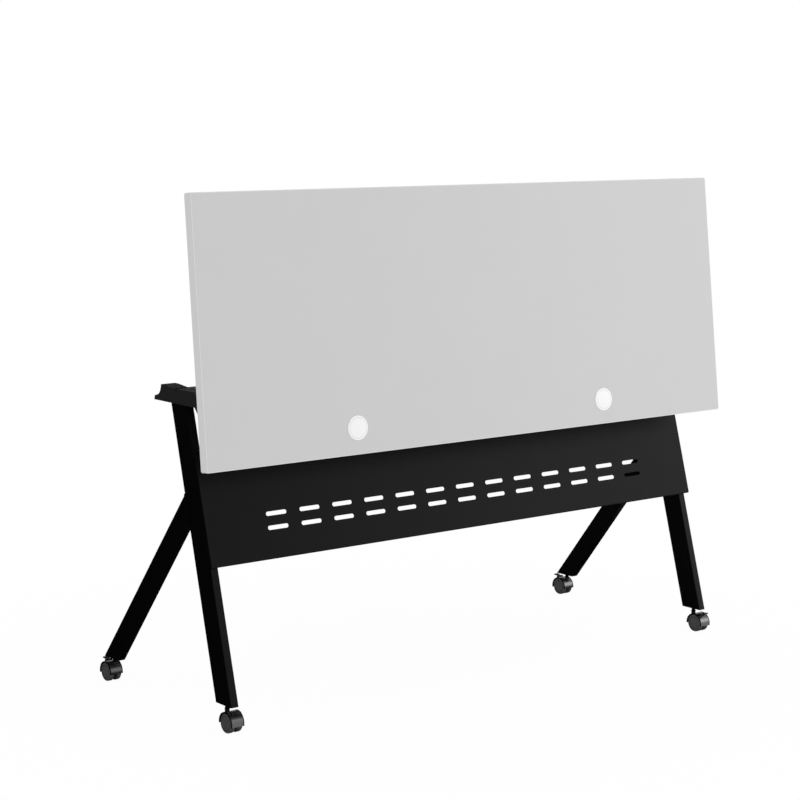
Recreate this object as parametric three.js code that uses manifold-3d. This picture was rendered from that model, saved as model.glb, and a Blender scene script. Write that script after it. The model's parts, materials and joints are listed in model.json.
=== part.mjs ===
// Flip top training table on casters, folded for storage.
// Millimetres, +Z up, X along the table, -Y the side that the modesty panel faces.
// The origin is on the floor under the middle of the table.
import * as THREE from 'three';
import { mergeVertices } from 'three/addons/utils/BufferGeometryUtils.js';
import Module from 'manifold-3d';

const wasm = await Module();
wasm.setup();

// Clearances
const SEAT_GAP = 0.3;
const RUNNING_GAP = 0.5;
const THROUGH = 5;
const EDGE_BREAK = 1;

// Worktop
const TOP_LENGTH = 1560;
const TOP_DEPTH = 600;
const TOP_THICKNESS = 25;
const TOP_CORNER = 4;
const BAND_THICKNESS = 2;
const WORK_HEIGHT = 760;
const REST_LEAN = 5.7;

// Tilt pivot, measured on the unfolded top
const PIVOT_FROM_REAR_EDGE = 119;
const PIVOT_UNDER_TOP = 49;
const PIVOT_PIN_DIAMETER = 12;
const PIVOT_HEAD_DIAMETER = 22;
const PIVOT_HEAD_THICKNESS = 5;
const BUSH_DIAMETER = 26;
const BUSH_THICKNESS = 3.4;

// Cable grommets
const GROMMET_SPREAD = 754;
const GROMMET_FROM_REAR_EDGE = 60;
const GROMMET_FLANGE_DIAMETER = 56;
const GROMMET_FLANGE_THICKNESS = 1.6;
const GROMMET_SLEEVE_DIAMETER = 50;
const GROMMET_WALL = 1.8;
const GROMMET_LEDGE = 2.2;
const GROMMET_LEDGE_THICKNESS = 2;
const CAP_THICKNESS = 3.4;
const CAP_RISE = 0.6;

// Legs
const TOP_OVERHANG = 51;
const FOOT_SETBACK = 25.1;
const LEG_BASE_HEIGHT = 57.5;
const TUBE_WIDTH = 20;
const TUBE_WALL = 2;
const TUBE_CORNER = 2;
const POST_DEPTH = 60;
const POST_LEAN = 15.3;
const FRONT_LEG_DEPTH = 48;
const FRONT_LEG_LEAN = 39.7;
const PLUG_HEIGHT = 24;
const SPIGOT_DEPTH = 30;

// Hinge head on each post
const HEAD_WIDTH = 37;
const HEAD_HEIGHT = 37.5;
const HEAD_LOBE_RADIUS = 26;
const HEAD_LOBE_FROM = 117;
const HEAD_LOBE_TO = 324;
const HEAD_DRAFT = 1.5;
const NOSE_REACH = 72;
const NOSE_HEIGHT = 9.5;
const NOSE_LENGTH = 13;
const NOSE_SWEEP = 16.5;
const LAND_LENGTH = 13.5;
const RAMP_LENGTH = 40;
const RAMP_DROP = 4;
const GROOVE_WIDTH = 11;
const GROOVE_DEPTH = 4.5;
const STOP_RADIUS = 45;
const STOP_ANGLE = 20;
const STOP_PEG_DIAMETER = 8;
const PAD_DIAMETER = 14;
const PAD_SEAT_DEPTH = 4;
const PAD_FROM_PIVOT = 51;

// Cross beam between the heads
const BEAM_DEPTH = 60;
const BEAM_HEIGHT = 30;
const BEAM_WALL = 2;
const BEAM_CORNER = 4;
const BEAM_UNDER_HEAD_TOP = 5;

// Modesty panel, a folded steel tray
const PANEL_OVERHANG = 6;
const PANEL_HEIGHT = 250;
const PANEL_SHEET = 1.5;
const PANEL_TRAY_DEPTH = 14;
const PANEL_LOWER_EDGE_HEIGHT = 353;
const SLOT_COLUMNS = 13;
const SLOT_ROWS = 2;
const SLOT_PITCH = 90.94;
const SLOT_ROW_PITCH = 31.5;
const SLOT_LENGTH = 55.5;
const SLOT_HEIGHT = 9.5;
const SLOT_LOWER_ROW = 69;
const BOLT_DIAMETER = 6;
const BOLT_HEAD_DIAMETER = 11;
const BOLT_HEAD_THICKNESS = 3.5;
const BOSS_DIAMETER = 14;
const BOLT_FROM_LOWER_EDGE = 39;
const BOLT_PITCH = 180;

// Top brackets and their latches
const BRACKET_SHEET = 3;
const BRACKET_WIDTH = 48;
const BRACKET_REAR_REACH = 60;
const BRACKET_PAST_LATCH = 21.8;
const EAR_RADIUS = 18;
const EAR_ROOT_WIDTH = 56;
const FINGER_WIDTH = 12;
const FINGER_OVERREACH = 6;
const WING_LENGTH = 40;
const WING_TO_FRAME_EDGE = 4;
const LUG_RADIUS = 8;
const LUG_SPACE = 16;
const LUG_FLARE = 4;
const LUG_SHIFT = 2.5;
const LATCH_AHEAD_OF_NOSE = 25;
const LATCH_UNDER_TOP = 16;
const LATCH_PIN_DIAMETER = 6;
const LATCH_PIN_RIM = 2;
const LATCH_HUB_RADIUS = 7;
const LATCH_HOOK_OVERLAP = 7;
const LATCH_HOOK_THICKNESS = 7;
const LATCH_HOOK_GAP = 1.5;
const LATCH_HOOK_CHAMFER = 4;
const LATCH_SHANK_GAP = 5;
const LATCH_SHANK_THICKNESS = 14;
const LATCH_PADDLE_REACH = 72;
const LATCH_PADDLE_DROP = 19;
const LATCH_PADDLE_THICKNESS = 4;
const LATCH_GRIP_LENGTH = 36;
const LATCH_GRIP_WIDTH = 30;
const SPRING_WIRE = 1.1;
const SPRING_PITCH = 1.6;
const SPRING_CURLS = 3.5;

// Casters
const WHEEL_DIAMETER = 44;
const WHEEL_WIDTH = 12;
const WHEEL_SPACE = 9;
const WHEEL_RIM = 4;
const WHEEL_DISH_RADIUS = 15;
const WHEEL_HUB_RADIUS = 7;
const WHEEL_FACE = 2.5;
const WHEEL_DISH_DEPTH = 1;
const WHEEL_TREAD_EDGE = 2.5;
const CASTER_TRAIL = 17;
const AXLE_DIAMETER = 8;
const AXLE_LOBE_RADIUS = 9;
const HOOD_GAP = 1;
const HOOD_WALL = 2;
const HOOD_FROM = -12;
const HOOD_TO = 186;
const STEM_DIAMETER = 10;
const STEM_SHANK_DIAMETER = 6;
const STEM_SHANK_BOTTOM = 36;
const STEM_COLLAR_DIAMETER = 12;
const STEM_COLLAR_THICKNESS = 2;
const STEM_INSERTION = 18;
const STEM_BOSS_DIAMETER = 11;
const STEM_BOSS_TOP = 48.5;
const BRAKE_ANGLE = 62;
const BRAKE_STANDOFF = 0.7;
const BRAKE_BARREL_RADIUS = 3;
const BRAKE_WIDTH = 10;
const BRAKE_LUG_RADIUS = 4.5;
const BRAKE_LUG_THICKNESS = 3;
const BRAKE_TRUNNION_DIAMETER = 3;
const BRAKE_REACH = 18;
const BRAKE_RISE = 6.5;
const BRAKE_THICKNESS = 2.6;
const BRAKE_TREAD_LENGTH = 10;
const BRAKE_TREAD_WIDTH = 12;
const BRAKE_TREAD_RISE = 0.8;

// How finely round forms are cut
const ROUND_SIDES = 24;
const SMALL_SIDES = 12;
const CORNER_STEPS = 2;
const ARC_STEPS = 6;
const SLOT_STEPS = 3;
const HOOD_STEPS = 14;
const SPRING_STEPS = 8;
const SPRING_SIDES = 5;

// Colours from the photograph
const laminate = new THREE.MeshStandardMaterial({ color: 0xcdcdcd, roughness: 0.55, metalness: 0 });
const banding = new THREE.MeshStandardMaterial({ color: 0xd9d9d9, roughness: 0.5, metalness: 0 });
const blackCoat = new THREE.MeshStandardMaterial({ color: 0x0b0b0c, roughness: 0.5, metalness: 0.1 });
const castBlack = new THREE.MeshStandardMaterial({ color: 0x232324, roughness: 0.6, metalness: 0.1 });
const whitePlastic = new THREE.MeshStandardMaterial({ color: 0xf2f2f2, roughness: 0.35, metalness: 0 });
const hoodPlastic = new THREE.MeshStandardMaterial({ color: 0x1c1c1d, roughness: 0.3, metalness: 0 });
const latchPlastic = new THREE.MeshStandardMaterial({ color: 0x1c1c1d, roughness: 0.5, metalness: 0 });
const wheelPlastic = new THREE.MeshStandardMaterial({ color: 0x434345, roughness: 0.55, metalness: 0 });
const zincSteel = new THREE.MeshStandardMaterial({ color: 0xa9acb0, roughness: 0.35, metalness: 1 });
const rubber = new THREE.MeshStandardMaterial({ color: 0x1a1a1a, roughness: 0.85, metalness: 0 });
const nylon = new THREE.MeshStandardMaterial({ color: 0x303032, roughness: 0.6, metalness: 0 });

// Places worked out from the driving dimensions
const rad = THREE.MathUtils.degToRad;
const underside = WORK_HEIGHT - TOP_THICKNESS;
const pivotY = PIVOT_FROM_REAR_EDGE - TOP_DEPTH / 2;
const pivotZ = underside - PIVOT_UNDER_TOP;
const flip = rad(90 - REST_LEAN);
const legOuterX = TOP_LENGTH / 2 - TOP_OVERHANG;
const legX = legOuterX - TUBE_WIDTH / 2;
const postRun = Math.tan(rad(POST_LEAN));
const frontRun = Math.tan(rad(FRONT_LEG_LEAN));
const postFootprint = POST_DEPTH / Math.cos(rad(POST_LEAN));
const frontFootprint = FRONT_LEG_DEPTH / Math.cos(rad(FRONT_LEG_LEAN));
const footY = TOP_DEPTH / 2 - FOOT_SETBACK;
const postFootY = postFootprint / 2 - footY;
const frontFootY = footY - frontFootprint / 2;
const headTop = underside - RUNNING_GAP;
const headBase = headTop - HEAD_HEIGHT;
const headInnerX = legOuterX - HEAD_WIDTH;
const postMiddleAt = (z) => postFootY + postRun * (z - LEG_BASE_HEIGHT);
const noseY = postMiddleAt(headBase) + postFootprint / 2 + NOSE_REACH;
const wheelRadius = WHEEL_DIAMETER / 2;
const sides = { left: -1, right: 1 };

// Solid tools

// Merges shared corners, drops collapsed triangles and turns the faces outward.
function closed(geometry) {
  const bare = geometry.clone();
  bare.deleteAttribute('normal');
  bare.deleteAttribute('uv');
  const merged = mergeVertices(bare, 1e-4);
  const source = merged.index.array;
  const kept = [];
  for (let i = 0; i < source.length; i += 3) {
    const [a, b, c] = [source[i], source[i + 1], source[i + 2]];
    if (a !== b && b !== c && c !== a) kept.push(a, b, c);
  }
  const corner = merged.attributes.position;
  const p = new THREE.Vector3();
  const q = new THREE.Vector3();
  const r = new THREE.Vector3();
  let volume = 0;
  for (let i = 0; i < kept.length; i += 3) {
    p.fromBufferAttribute(corner, kept[i]);
    q.fromBufferAttribute(corner, kept[i + 1]);
    r.fromBufferAttribute(corner, kept[i + 2]);
    volume += p.dot(q.cross(r));
  }
  if (volume < 0) {
    for (let i = 0; i < kept.length; i += 3) [kept[i + 1], kept[i + 2]] = [kept[i + 2], kept[i + 1]];
  }
  const shell = new THREE.BufferGeometry();
  shell.setAttribute('position', corner);
  shell.setIndex(kept);
  return shell;
}

function toSolid(geometry) {
  const shell = closed(geometry);
  const vertProperties = Float32Array.from(shell.attributes.position.array);
  const triVerts = Uint32Array.from(shell.index.array);
  return new wasm.Manifold(new wasm.Mesh({ numProp: 3, vertProperties, triVerts }));
}

function fromSolid(solid) {
  const { vertProperties, triVerts } = solid.getMesh();
  const geometry = new THREE.BufferGeometry();
  geometry.setAttribute('position', new THREE.BufferAttribute(Float32Array.from(vertProperties), 3));
  geometry.setIndex(new THREE.BufferAttribute(Uint32Array.from(triVerts), 1));
  return geometry;
}

const join = (...shapes) => fromSolid(shapes.map(toSolid).reduce((a, b) => a.add(b)));
function cut(body, ...tools) {
  return fromSolid(tools.map(toSolid).reduce((a, b) => a.subtract(b), toSolid(body)));
}

// A copy for the left side of a piece drawn on the right.
function onSide(geometry, side) {
  return closed(geometry.clone().scale(side, 1, 1));
}

// An outline drawn in (y, z), pushed along X from x0 to x1.
function alongX(shape, x0, x1) {
  const geometry = new THREE.ExtrudeGeometry(shape, {
    depth: x1 - x0, bevelEnabled: false, curveSegments: ARC_STEPS,
  });
  const axes = [new THREE.Vector3(0, 1, 0), new THREE.Vector3(0, 0, 1), new THREE.Vector3(1, 0, 0)];
  geometry.applyMatrix4(new THREE.Matrix4().makeBasis(...axes));
  return geometry.translate(x0, 0, 0);
}

// An outline drawn in (x, y), pushed up Z from z0 to z1.
function alongZ(shape, z0, z1) {
  const geometry = new THREE.ExtrudeGeometry(shape, {
    depth: z1 - z0, bevelEnabled: false, curveSegments: ARC_STEPS,
  });
  return geometry.translate(0, 0, z0);
}

function block(x0, x1, y0, y1, z0, z1) {
  const geometry = new THREE.BoxGeometry(x1 - x0, y1 - y0, z1 - z0);
  return geometry.translate((x0 + x1) / 2, (y0 + y1) / 2, (z0 + z1) / 2);
}

function rodX(radius, x0, x1, y, z, count = ROUND_SIDES) {
  const geometry = new THREE.CylinderGeometry(radius, radius, x1 - x0, count);
  return geometry.rotateZ(-Math.PI / 2).translate((x0 + x1) / 2, y, z);
}

function rodZ(radius, x, y, z0, z1, count = ROUND_SIDES) {
  const geometry = new THREE.CylinderGeometry(radius, radius, z1 - z0, count);
  return geometry.rotateX(Math.PI / 2).translate(x, y, (z0 + z1) / 2);
}

// A profile of [radius, place] pairs turned about the X or the Z axis.
function turned(profile, axis, count = ROUND_SIDES) {
  const points = profile.map(([radius, place]) => new THREE.Vector2(radius, place));
  const geometry = new THREE.LatheGeometry(points, count);
  return closed(axis === 'x' ? geometry.rotateZ(-Math.PI / 2) : geometry.rotateX(Math.PI / 2));
}

function outline(points) {
  return new THREE.Shape(points.map(([a, b]) => new THREE.Vector2(a, b)));
}

// A rectangle with rounded corners, as a list of points.
function roundedRectangle(x0, x1, y0, y1, radius) {
  const points = [];
  const centres = [[x1 - radius, y0 + radius], [x1 - radius, y1 - radius],
    [x0 + radius, y1 - radius], [x0 + radius, y0 + radius]];
  centres.forEach(([x, y], corner) => {
    for (let step = 0; step <= CORNER_STEPS; step += 1) {
      const angle = (corner - 1 + step / CORNER_STEPS) * Math.PI / 2;
      points.push(new THREE.Vector2(x + radius * Math.cos(angle), y + radius * Math.sin(angle)));
    }
  });
  return points;
}

function circlePoints(x, y, radius, from, to, steps) {
  const points = [];
  for (let step = 0; step <= steps; step += 1) {
    const angle = rad(from + (to - from) * step / steps);
    points.push([x + radius * Math.cos(angle), y + radius * Math.sin(angle)]);
  }
  return points;
}

function roundHole(x, y, radius, count = ROUND_SIDES) {
  return new THREE.Path(circlePoints(x, y, radius, 0, 360 * (1 - 1 / count), count - 1)
    .map(([a, b]) => new THREE.Vector2(a, b)));
}

// Shears an upright solid so that it leans along Y by run for each millimetre above z0.
function leaning(geometry, run, z0) {
  const lean = new THREE.Matrix4().set(1, 0, 0, 0, 0, 1, run, -run * z0, 0, 0, 1, 0, 0, 0, 0, 1);
  return geometry.applyMatrix4(lean);
}

const table = new THREE.Group();

function place(name, geometry, material, parent = table) {
  const mesh = new THREE.Mesh(closed(geometry), material);
  mesh.name = name;
  parent.add(mesh);
  return mesh;
}

// Leg tubes

// A rectangular tube that stands on y at z0 and leans to z1, cut level at both ends.
function leaningTube(depth, y, run, z0, z1) {
  const half = TUBE_WIDTH / 2;
  const wallRun = TUBE_WALL * Math.sqrt(1 + run * run);
  const section = new THREE.Shape(roundedRectangle(-half, half, -depth / 2, depth / 2, TUBE_CORNER));
  const innerHalf = half - TUBE_WALL;
  const innerCorner = Math.max(TUBE_CORNER - TUBE_WALL, TUBE_WALL / 4);
  const halfHollow = depth / 2 - wallRun;
  const hollow = roundedRectangle(-innerHalf, innerHalf, -halfHollow, halfHollow, innerCorner);
  section.holes.push(new THREE.Path(hollow));
  return leaning(alongZ(section, z0, z1), run, z0).translate(legX, y, 0);
}

// A block that fits the inside of a leaning tube between two heights.
function tubeFiller(depth, y, run, foot, z0, z1) {
  const wallRun = TUBE_WALL * Math.sqrt(1 + run * run) + SEAT_GAP;
  const halfWidth = TUBE_WIDTH / 2 - TUBE_WALL - SEAT_GAP;
  const halfDepth = depth / 2 - wallRun;
  const corner = TUBE_WALL / 2;
  const filler = new THREE.Shape(roundedRectangle(-halfWidth, halfWidth, -halfDepth, halfDepth, corner));
  return leaning(alongZ(filler, z0, z1), run, foot).translate(legX, y, 0);
}

// The modesty panel's own frame: X along the table, Y up the panel, Z out of its face.
const panelTilt = rad(90 - POST_LEAN);
const postRearAt = (z) => postMiddleAt(z) - postFootprint / 2;
const panelFaceOut = PANEL_TRAY_DEPTH / Math.cos(rad(POST_LEAN));
const panelBaseY = postRearAt(PANEL_LOWER_EDGE_HEIGHT) - panelFaceOut;
const panelFrame = new THREE.Matrix4().makeRotationX(panelTilt)
  .setPosition(0, panelBaseY, PANEL_LOWER_EDGE_HEIGHT);
const boltHeights = [BOLT_FROM_LOWER_EDGE, BOLT_FROM_LOWER_EDGE + BOLT_PITCH];
const onPanel = (geometry) => geometry.applyMatrix4(panelFrame);

function postGeometry() {
  const tube = leaningTube(postFootprint, postFootY, postRun, LEG_BASE_HEIGHT, headBase - SEAT_GAP);
  const holeRadius = BOLT_DIAMETER / 2 + SEAT_GAP;
  const drills = boltHeights.map((v) => onPanel(
    rodZ(holeRadius, legX, v, -PANEL_TRAY_DEPTH - POST_DEPTH - THROUGH, 0, SMALL_SIDES)));
  return cut(tube, ...drills);
}

function frontLegGeometry() {
  const joint = (postFootY - frontFootY) / (-frontRun - postRun);
  const overrun = (postFootprint + frontFootprint) / (frontRun + postRun);
  const tube = leaningTube(frontFootprint, frontFootY, -frontRun, LEG_BASE_HEIGHT,
    LEG_BASE_HEIGHT + joint + overrun);
  const face = postFootprint / 2 + SEAT_GAP;
  const behind = block(-TUBE_WIDTH, TUBE_WIDTH, face - TOP_DEPTH, face, LEG_BASE_HEIGHT, WORK_HEIGHT);
  return cut(tube, leaning(behind, postRun, LEG_BASE_HEIGHT).translate(legX, postFootY, 0));
}

function plugGeometry(depth, y, run) {
  const top = LEG_BASE_HEIGHT + PLUG_HEIGHT;
  const plug = tubeFiller(depth, y, run, LEG_BASE_HEIGHT, LEG_BASE_HEIGHT, top);
  const bottom = LEG_BASE_HEIGHT - THROUGH;
  const bore = rodZ(STEM_DIAMETER / 2 + SEAT_GAP, legX, y, bottom, top + THROUGH, SMALL_SIDES);
  return cut(plug, bore);
}

// Hinge head: a support arm with the pivot at its rear end and the catch nose in front

function headOutline() {
  const shape = new THREE.Shape();
  const landY = noseY - NOSE_LENGTH - NOSE_SWEEP;
  const rampY = landY - LAND_LENGTH - RAMP_LENGTH;
  const rampZ = headTop - RAMP_DROP;
  shape.moveTo(noseY, headBase);
  shape.lineTo(noseY - HEAD_DRAFT, headBase + NOSE_HEIGHT);
  shape.lineTo(noseY - NOSE_LENGTH, headBase + NOSE_HEIGHT + 2 * HEAD_DRAFT);
  shape.quadraticCurveTo(landY + 2 * HEAD_DRAFT, headBase + NOSE_HEIGHT + 4 * HEAD_DRAFT, landY, headTop);
  shape.lineTo(landY - LAND_LENGTH, headTop);
  shape.lineTo(rampY, rampZ);
  shape.lineTo(rampY - HEAD_DRAFT, rampZ - GROOVE_DEPTH);
  shape.lineTo(rampY - HEAD_DRAFT - GROOVE_WIDTH, rampZ - GROOVE_DEPTH);
  shape.lineTo(rampY - 2 * HEAD_DRAFT - GROOVE_WIDTH, rampZ);
  const lobe = circlePoints(pivotY, pivotZ, HEAD_LOBE_RADIUS, HEAD_LOBE_FROM, HEAD_LOBE_TO, 2 * ARC_STEPS);
  shape.lineTo(pivotY + HEAD_LOBE_RADIUS, rampZ);
  lobe.forEach(([y, z]) => shape.lineTo(y, z));
  shape.lineTo(pivotY + STOP_RADIUS, headBase);
  return shape;
}

const pegY = pivotY + STOP_RADIUS * Math.cos(rad(STOP_ANGLE));
const pegZ = pivotZ + STOP_RADIUS * Math.sin(rad(STOP_ANGLE));
const earOuterX = headInnerX - BUSH_THICKNESS - 2 * SEAT_GAP;
const earInnerX = earOuterX - BRACKET_SHEET;
const padX = (headInnerX + legOuterX) / 2;
const padY = pivotY + PAD_FROM_PIVOT;
const padSeat = headTop - RAMP_DROP - PAD_SEAT_DEPTH;
const pivotHole = PIVOT_PIN_DIAMETER / 2 + SEAT_GAP;

function headGeometry() {
  const arm = alongX(headOutline(), headInnerX, legOuterX);
  const spigot = tubeFiller(postFootprint, postFootY, postRun, LEG_BASE_HEIGHT,
    headBase - SPIGOT_DEPTH, headBase + TUBE_WALL);
  const peg = rodX(STOP_PEG_DIAMETER / 2, earInnerX - EDGE_BREAK, headInnerX + THROUGH, pegY, pegZ,
    SMALL_SIDES);
  const pinBore = rodX(pivotHole, headInnerX - THROUGH, legOuterX + THROUGH, pivotY, pivotZ);
  const padBore = rodZ(PAD_DIAMETER / 2 + SEAT_GAP, padX, padY, padSeat, headTop + THROUGH, SMALL_SIDES);
  return cut(join(arm, spigot, peg), pinBore, padBore);
}

function pivotPinGeometry() {
  const shank = PIVOT_PIN_DIAMETER / 2;
  const headRadius = PIVOT_HEAD_DIAMETER / 2;
  const seat = earInnerX - SEAT_GAP;
  const face = seat - PIVOT_HEAD_THICKNESS;
  const tip = legOuterX - SEAT_GAP;
  const profile = [[0, face], [headRadius - EDGE_BREAK, face], [headRadius, face + EDGE_BREAK],
    [headRadius, seat], [shank, seat], [shank, tip], [0, tip]];
  return turned(profile, 'x').translate(0, pivotY, pivotZ);
}

function padGeometry() {
  const radius = PAD_DIAMETER / 2;
  const top = underside - SEAT_GAP;
  const profile = [[0, padSeat + SEAT_GAP], [radius, padSeat + SEAT_GAP], [radius, top - EDGE_BREAK],
    [radius - EDGE_BREAK, top], [0, top]];
  return turned(profile, 'z', SMALL_SIDES).translate(padX, padY, 0);
}

function beamGeometry() {
  const top = headTop - BEAM_UNDER_HEAD_TOP;
  const middle = postMiddleAt(headBase);
  const [y0, y1] = [middle - BEAM_DEPTH / 2, middle + BEAM_DEPTH / 2];
  const section = new THREE.Shape(roundedRectangle(y0, y1, top - BEAM_HEIGHT, top, BEAM_CORNER));
  section.holes.push(new THREE.Path(roundedRectangle(y0 + BEAM_WALL, y1 - BEAM_WALL,
    top - BEAM_HEIGHT + BEAM_WALL, top - BEAM_WALL, BEAM_CORNER - BEAM_WALL)));
  const reach = headInnerX - SEAT_GAP;
  return alongX(section, -reach, reach);
}

// Modesty panel with two rows of round ended slots

function slotPath(x, y) {
  const radius = SLOT_HEIGHT / 2;
  const straight = SLOT_LENGTH / 2 - radius;
  const right = circlePoints(x + straight, y, radius, -90, 90, SLOT_STEPS);
  const left = circlePoints(x - straight, y, radius, 90, 270, SLOT_STEPS);
  return new THREE.Path([...right, ...left].map(([a, b]) => new THREE.Vector2(a, b)));
}

function panelGeometry() {
  const half = legOuterX + PANEL_OVERHANG;
  const face = new THREE.Shape(roundedRectangle(-half, half, 0, PANEL_HEIGHT, PANEL_SHEET));
  for (let row = 0; row < SLOT_ROWS; row += 1) {
    for (let column = 0; column < SLOT_COLUMNS; column += 1) {
      const x = (column - (SLOT_COLUMNS - 1) / 2) * SLOT_PITCH;
      face.holes.push(slotPath(x, SLOT_LOWER_ROW + row * SLOT_ROW_PITCH));
    }
  }
  const inner = half - PANEL_SHEET;
  const rim = new THREE.Shape(roundedRectangle(-half, half, 0, PANEL_HEIGHT, PANEL_SHEET));
  rim.holes.push(new THREE.Path(roundedRectangle(-inner, inner, PANEL_SHEET, PANEL_HEIGHT - PANEL_SHEET,
    PANEL_SHEET / 2)));
  const back = SEAT_GAP - PANEL_TRAY_DEPTH;
  const bosses = Object.values(sides).flatMap((side) => boltHeights.map(
    (v) => rodZ(BOSS_DIAMETER / 2, side * legX, v, back, -PANEL_SHEET / 2, SMALL_SIDES)));
  const tray = join(alongZ(face, -PANEL_SHEET, 0), alongZ(rim, back, -PANEL_SHEET / 2), ...bosses);
  const holeRadius = BOLT_DIAMETER / 2 + SEAT_GAP;
  const taps = Object.values(sides).flatMap((side) => boltHeights.map(
    (v) => rodZ(holeRadius, side * legX, v, back - THROUGH, -PANEL_SHEET - EDGE_BREAK, SMALL_SIDES)));
  return onPanel(cut(tray, ...taps));
}

function panelBoltGeometry(v) {
  const shank = BOLT_DIAMETER / 2;
  const headRadius = BOLT_HEAD_DIAMETER / 2;
  const seat = -PANEL_TRAY_DEPTH - POST_DEPTH - SEAT_GAP;
  const tip = -PANEL_SHEET - EDGE_BREAK - SEAT_GAP;
  const face = seat - BOLT_HEAD_THICKNESS;
  const profile = [[0, face], [headRadius - 2 * EDGE_BREAK, face], [headRadius, seat - EDGE_BREAK],
    [headRadius, seat], [shank, seat], [shank, tip], [0, tip]];
  return onPanel(turned(profile, 'z', SMALL_SIDES).translate(legX, v, 0));
}

for (const [name, side] of Object.entries(sides)) {
  place(`${name}_rear_post`, onSide(postGeometry(), side), blackCoat);
  place(`${name}_front_leg`, onSide(frontLegGeometry(), side), blackCoat);
  const rearPlug = plugGeometry(postFootprint, postFootY, postRun);
  const frontPlug = plugGeometry(frontFootprint, frontFootY, -frontRun);
  place(`${name}_rear_plug`, onSide(rearPlug, side), latchPlastic);
  place(`${name}_front_plug`, onSide(frontPlug, side), latchPlastic);
  place(`${name}_hinge_head`, onSide(headGeometry(), side), castBlack);
  place(`${name}_pivot_pin`, onSide(pivotPinGeometry(), side), zincSteel);
  place(`${name}_support_pad`, onSide(padGeometry(), side), rubber);
  place(`${name}_lower_panel_bolt`, onSide(panelBoltGeometry(boltHeights[0]), side), zincSteel);
  place(`${name}_upper_panel_bolt`, onSide(panelBoltGeometry(boltHeights[1]), side), zincSteel);
}
place('cross_beam', beamGeometry(), blackCoat);
place('modesty_panel', panelGeometry(), blackCoat);

// The tilting top, drawn unfolded about its pivot line and then turned up to rest.
// Here Y runs from the pivot towards the user and Z up through the board.
const top = new THREE.Group();
top.position.set(0, pivotY, pivotZ);
top.rotation.x = flip;
table.add(top);

const rearEdge = -PIVOT_FROM_REAR_EDGE;
const frontEdge = TOP_DEPTH - PIVOT_FROM_REAR_EDGE;
const boardBottom = PIVOT_UNDER_TOP;
const boardTop = PIVOT_UNDER_TOP + TOP_THICKNESS;
const grommetY = rearEdge + GROMMET_FROM_REAR_EDGE;
const grommetX = GROMMET_SPREAD / 2;
const sleeveRadius = GROMMET_SLEEVE_DIAMETER / 2;
const boreRadius = sleeveRadius - GROMMET_WALL;

function boardGeometry() {
  const half = TOP_LENGTH / 2 - BAND_THICKNESS - SEAT_GAP;
  const inset = BAND_THICKNESS + SEAT_GAP;
  const sheet = new THREE.Shape(roundedRectangle(-half, half, rearEdge + inset, frontEdge - inset,
    TOP_CORNER - BAND_THICKNESS));
  Object.values(sides).forEach((side) => {
    sheet.holes.push(roundHole(side * grommetX, grommetY, sleeveRadius + SEAT_GAP));
  });
  return alongZ(sheet, boardBottom, boardTop);
}

function bandGeometry() {
  const half = TOP_LENGTH / 2;
  const inner = half - BAND_THICKNESS;
  const ring = new THREE.Shape(roundedRectangle(-half, half, rearEdge, frontEdge, TOP_CORNER));
  ring.holes.push(new THREE.Path(roundedRectangle(-inner, inner, rearEdge + BAND_THICKNESS,
    frontEdge - BAND_THICKNESS, TOP_CORNER - BAND_THICKNESS)));
  return alongZ(ring, boardBottom, boardTop);
}

const capSeat = boardTop + GROMMET_FLANGE_THICKNESS + CAP_RISE - CAP_THICKNESS;

function sleeveGeometry() {
  const flange = GROMMET_FLANGE_DIAMETER / 2;
  const flangeBottom = boardTop + SEAT_GAP;
  const flangeTop = boardTop + GROMMET_FLANGE_THICKNESS;
  const ledgeTop = capSeat - SEAT_GAP;
  const ledgeBottom = ledgeTop - GROMMET_LEDGE_THICKNESS;
  const profile = [[boreRadius, boardBottom], [sleeveRadius, boardBottom], [sleeveRadius, flangeBottom],
    [flange, flangeBottom], [flange - EDGE_BREAK, flangeTop], [boreRadius, flangeTop], [boreRadius, ledgeTop],
    [boreRadius - GROMMET_LEDGE, ledgeTop], [boreRadius - GROMMET_LEDGE, ledgeBottom],
    [boreRadius, ledgeBottom - GROMMET_LEDGE], [boreRadius, boardBottom]];
  return turned(profile, 'z').translate(grommetX, grommetY, 0);
}

function capGeometry() {
  const radius = boreRadius - SEAT_GAP;
  const capTop = capSeat + CAP_THICKNESS;
  const profile = [[0, capSeat], [radius, capSeat], [radius, capTop - CAP_RISE],
    [radius - CAP_RISE, capTop], [0, capTop]];
  return turned(profile, 'z').translate(grommetX, grommetY, 0);
}

// Top bracket: a plate under the board with the pivot ear, its stop finger and two latch lugs

const plateTop = boardBottom - SEAT_GAP;
const plateBottom = plateTop - BRACKET_SHEET;
const noseAhead = noseY - pivotY;
const noseUnder = headBase - pivotZ;
const latchY = noseAhead + LATCH_AHEAD_OF_NOSE;
const latchZ = boardBottom - LATCH_UNDER_TOP;
const bracketFront = latchY + BRACKET_PAST_LATCH;
const latchMiddleX = (headInnerX + legOuterX) / 2 + LUG_SHIFT;
const lugXs = [latchMiddleX - LUG_SPACE / 2 - BRACKET_SHEET, latchMiddleX + LUG_SPACE / 2];
const latchPinRadius = LATCH_PIN_DIAMETER / 2;

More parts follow.
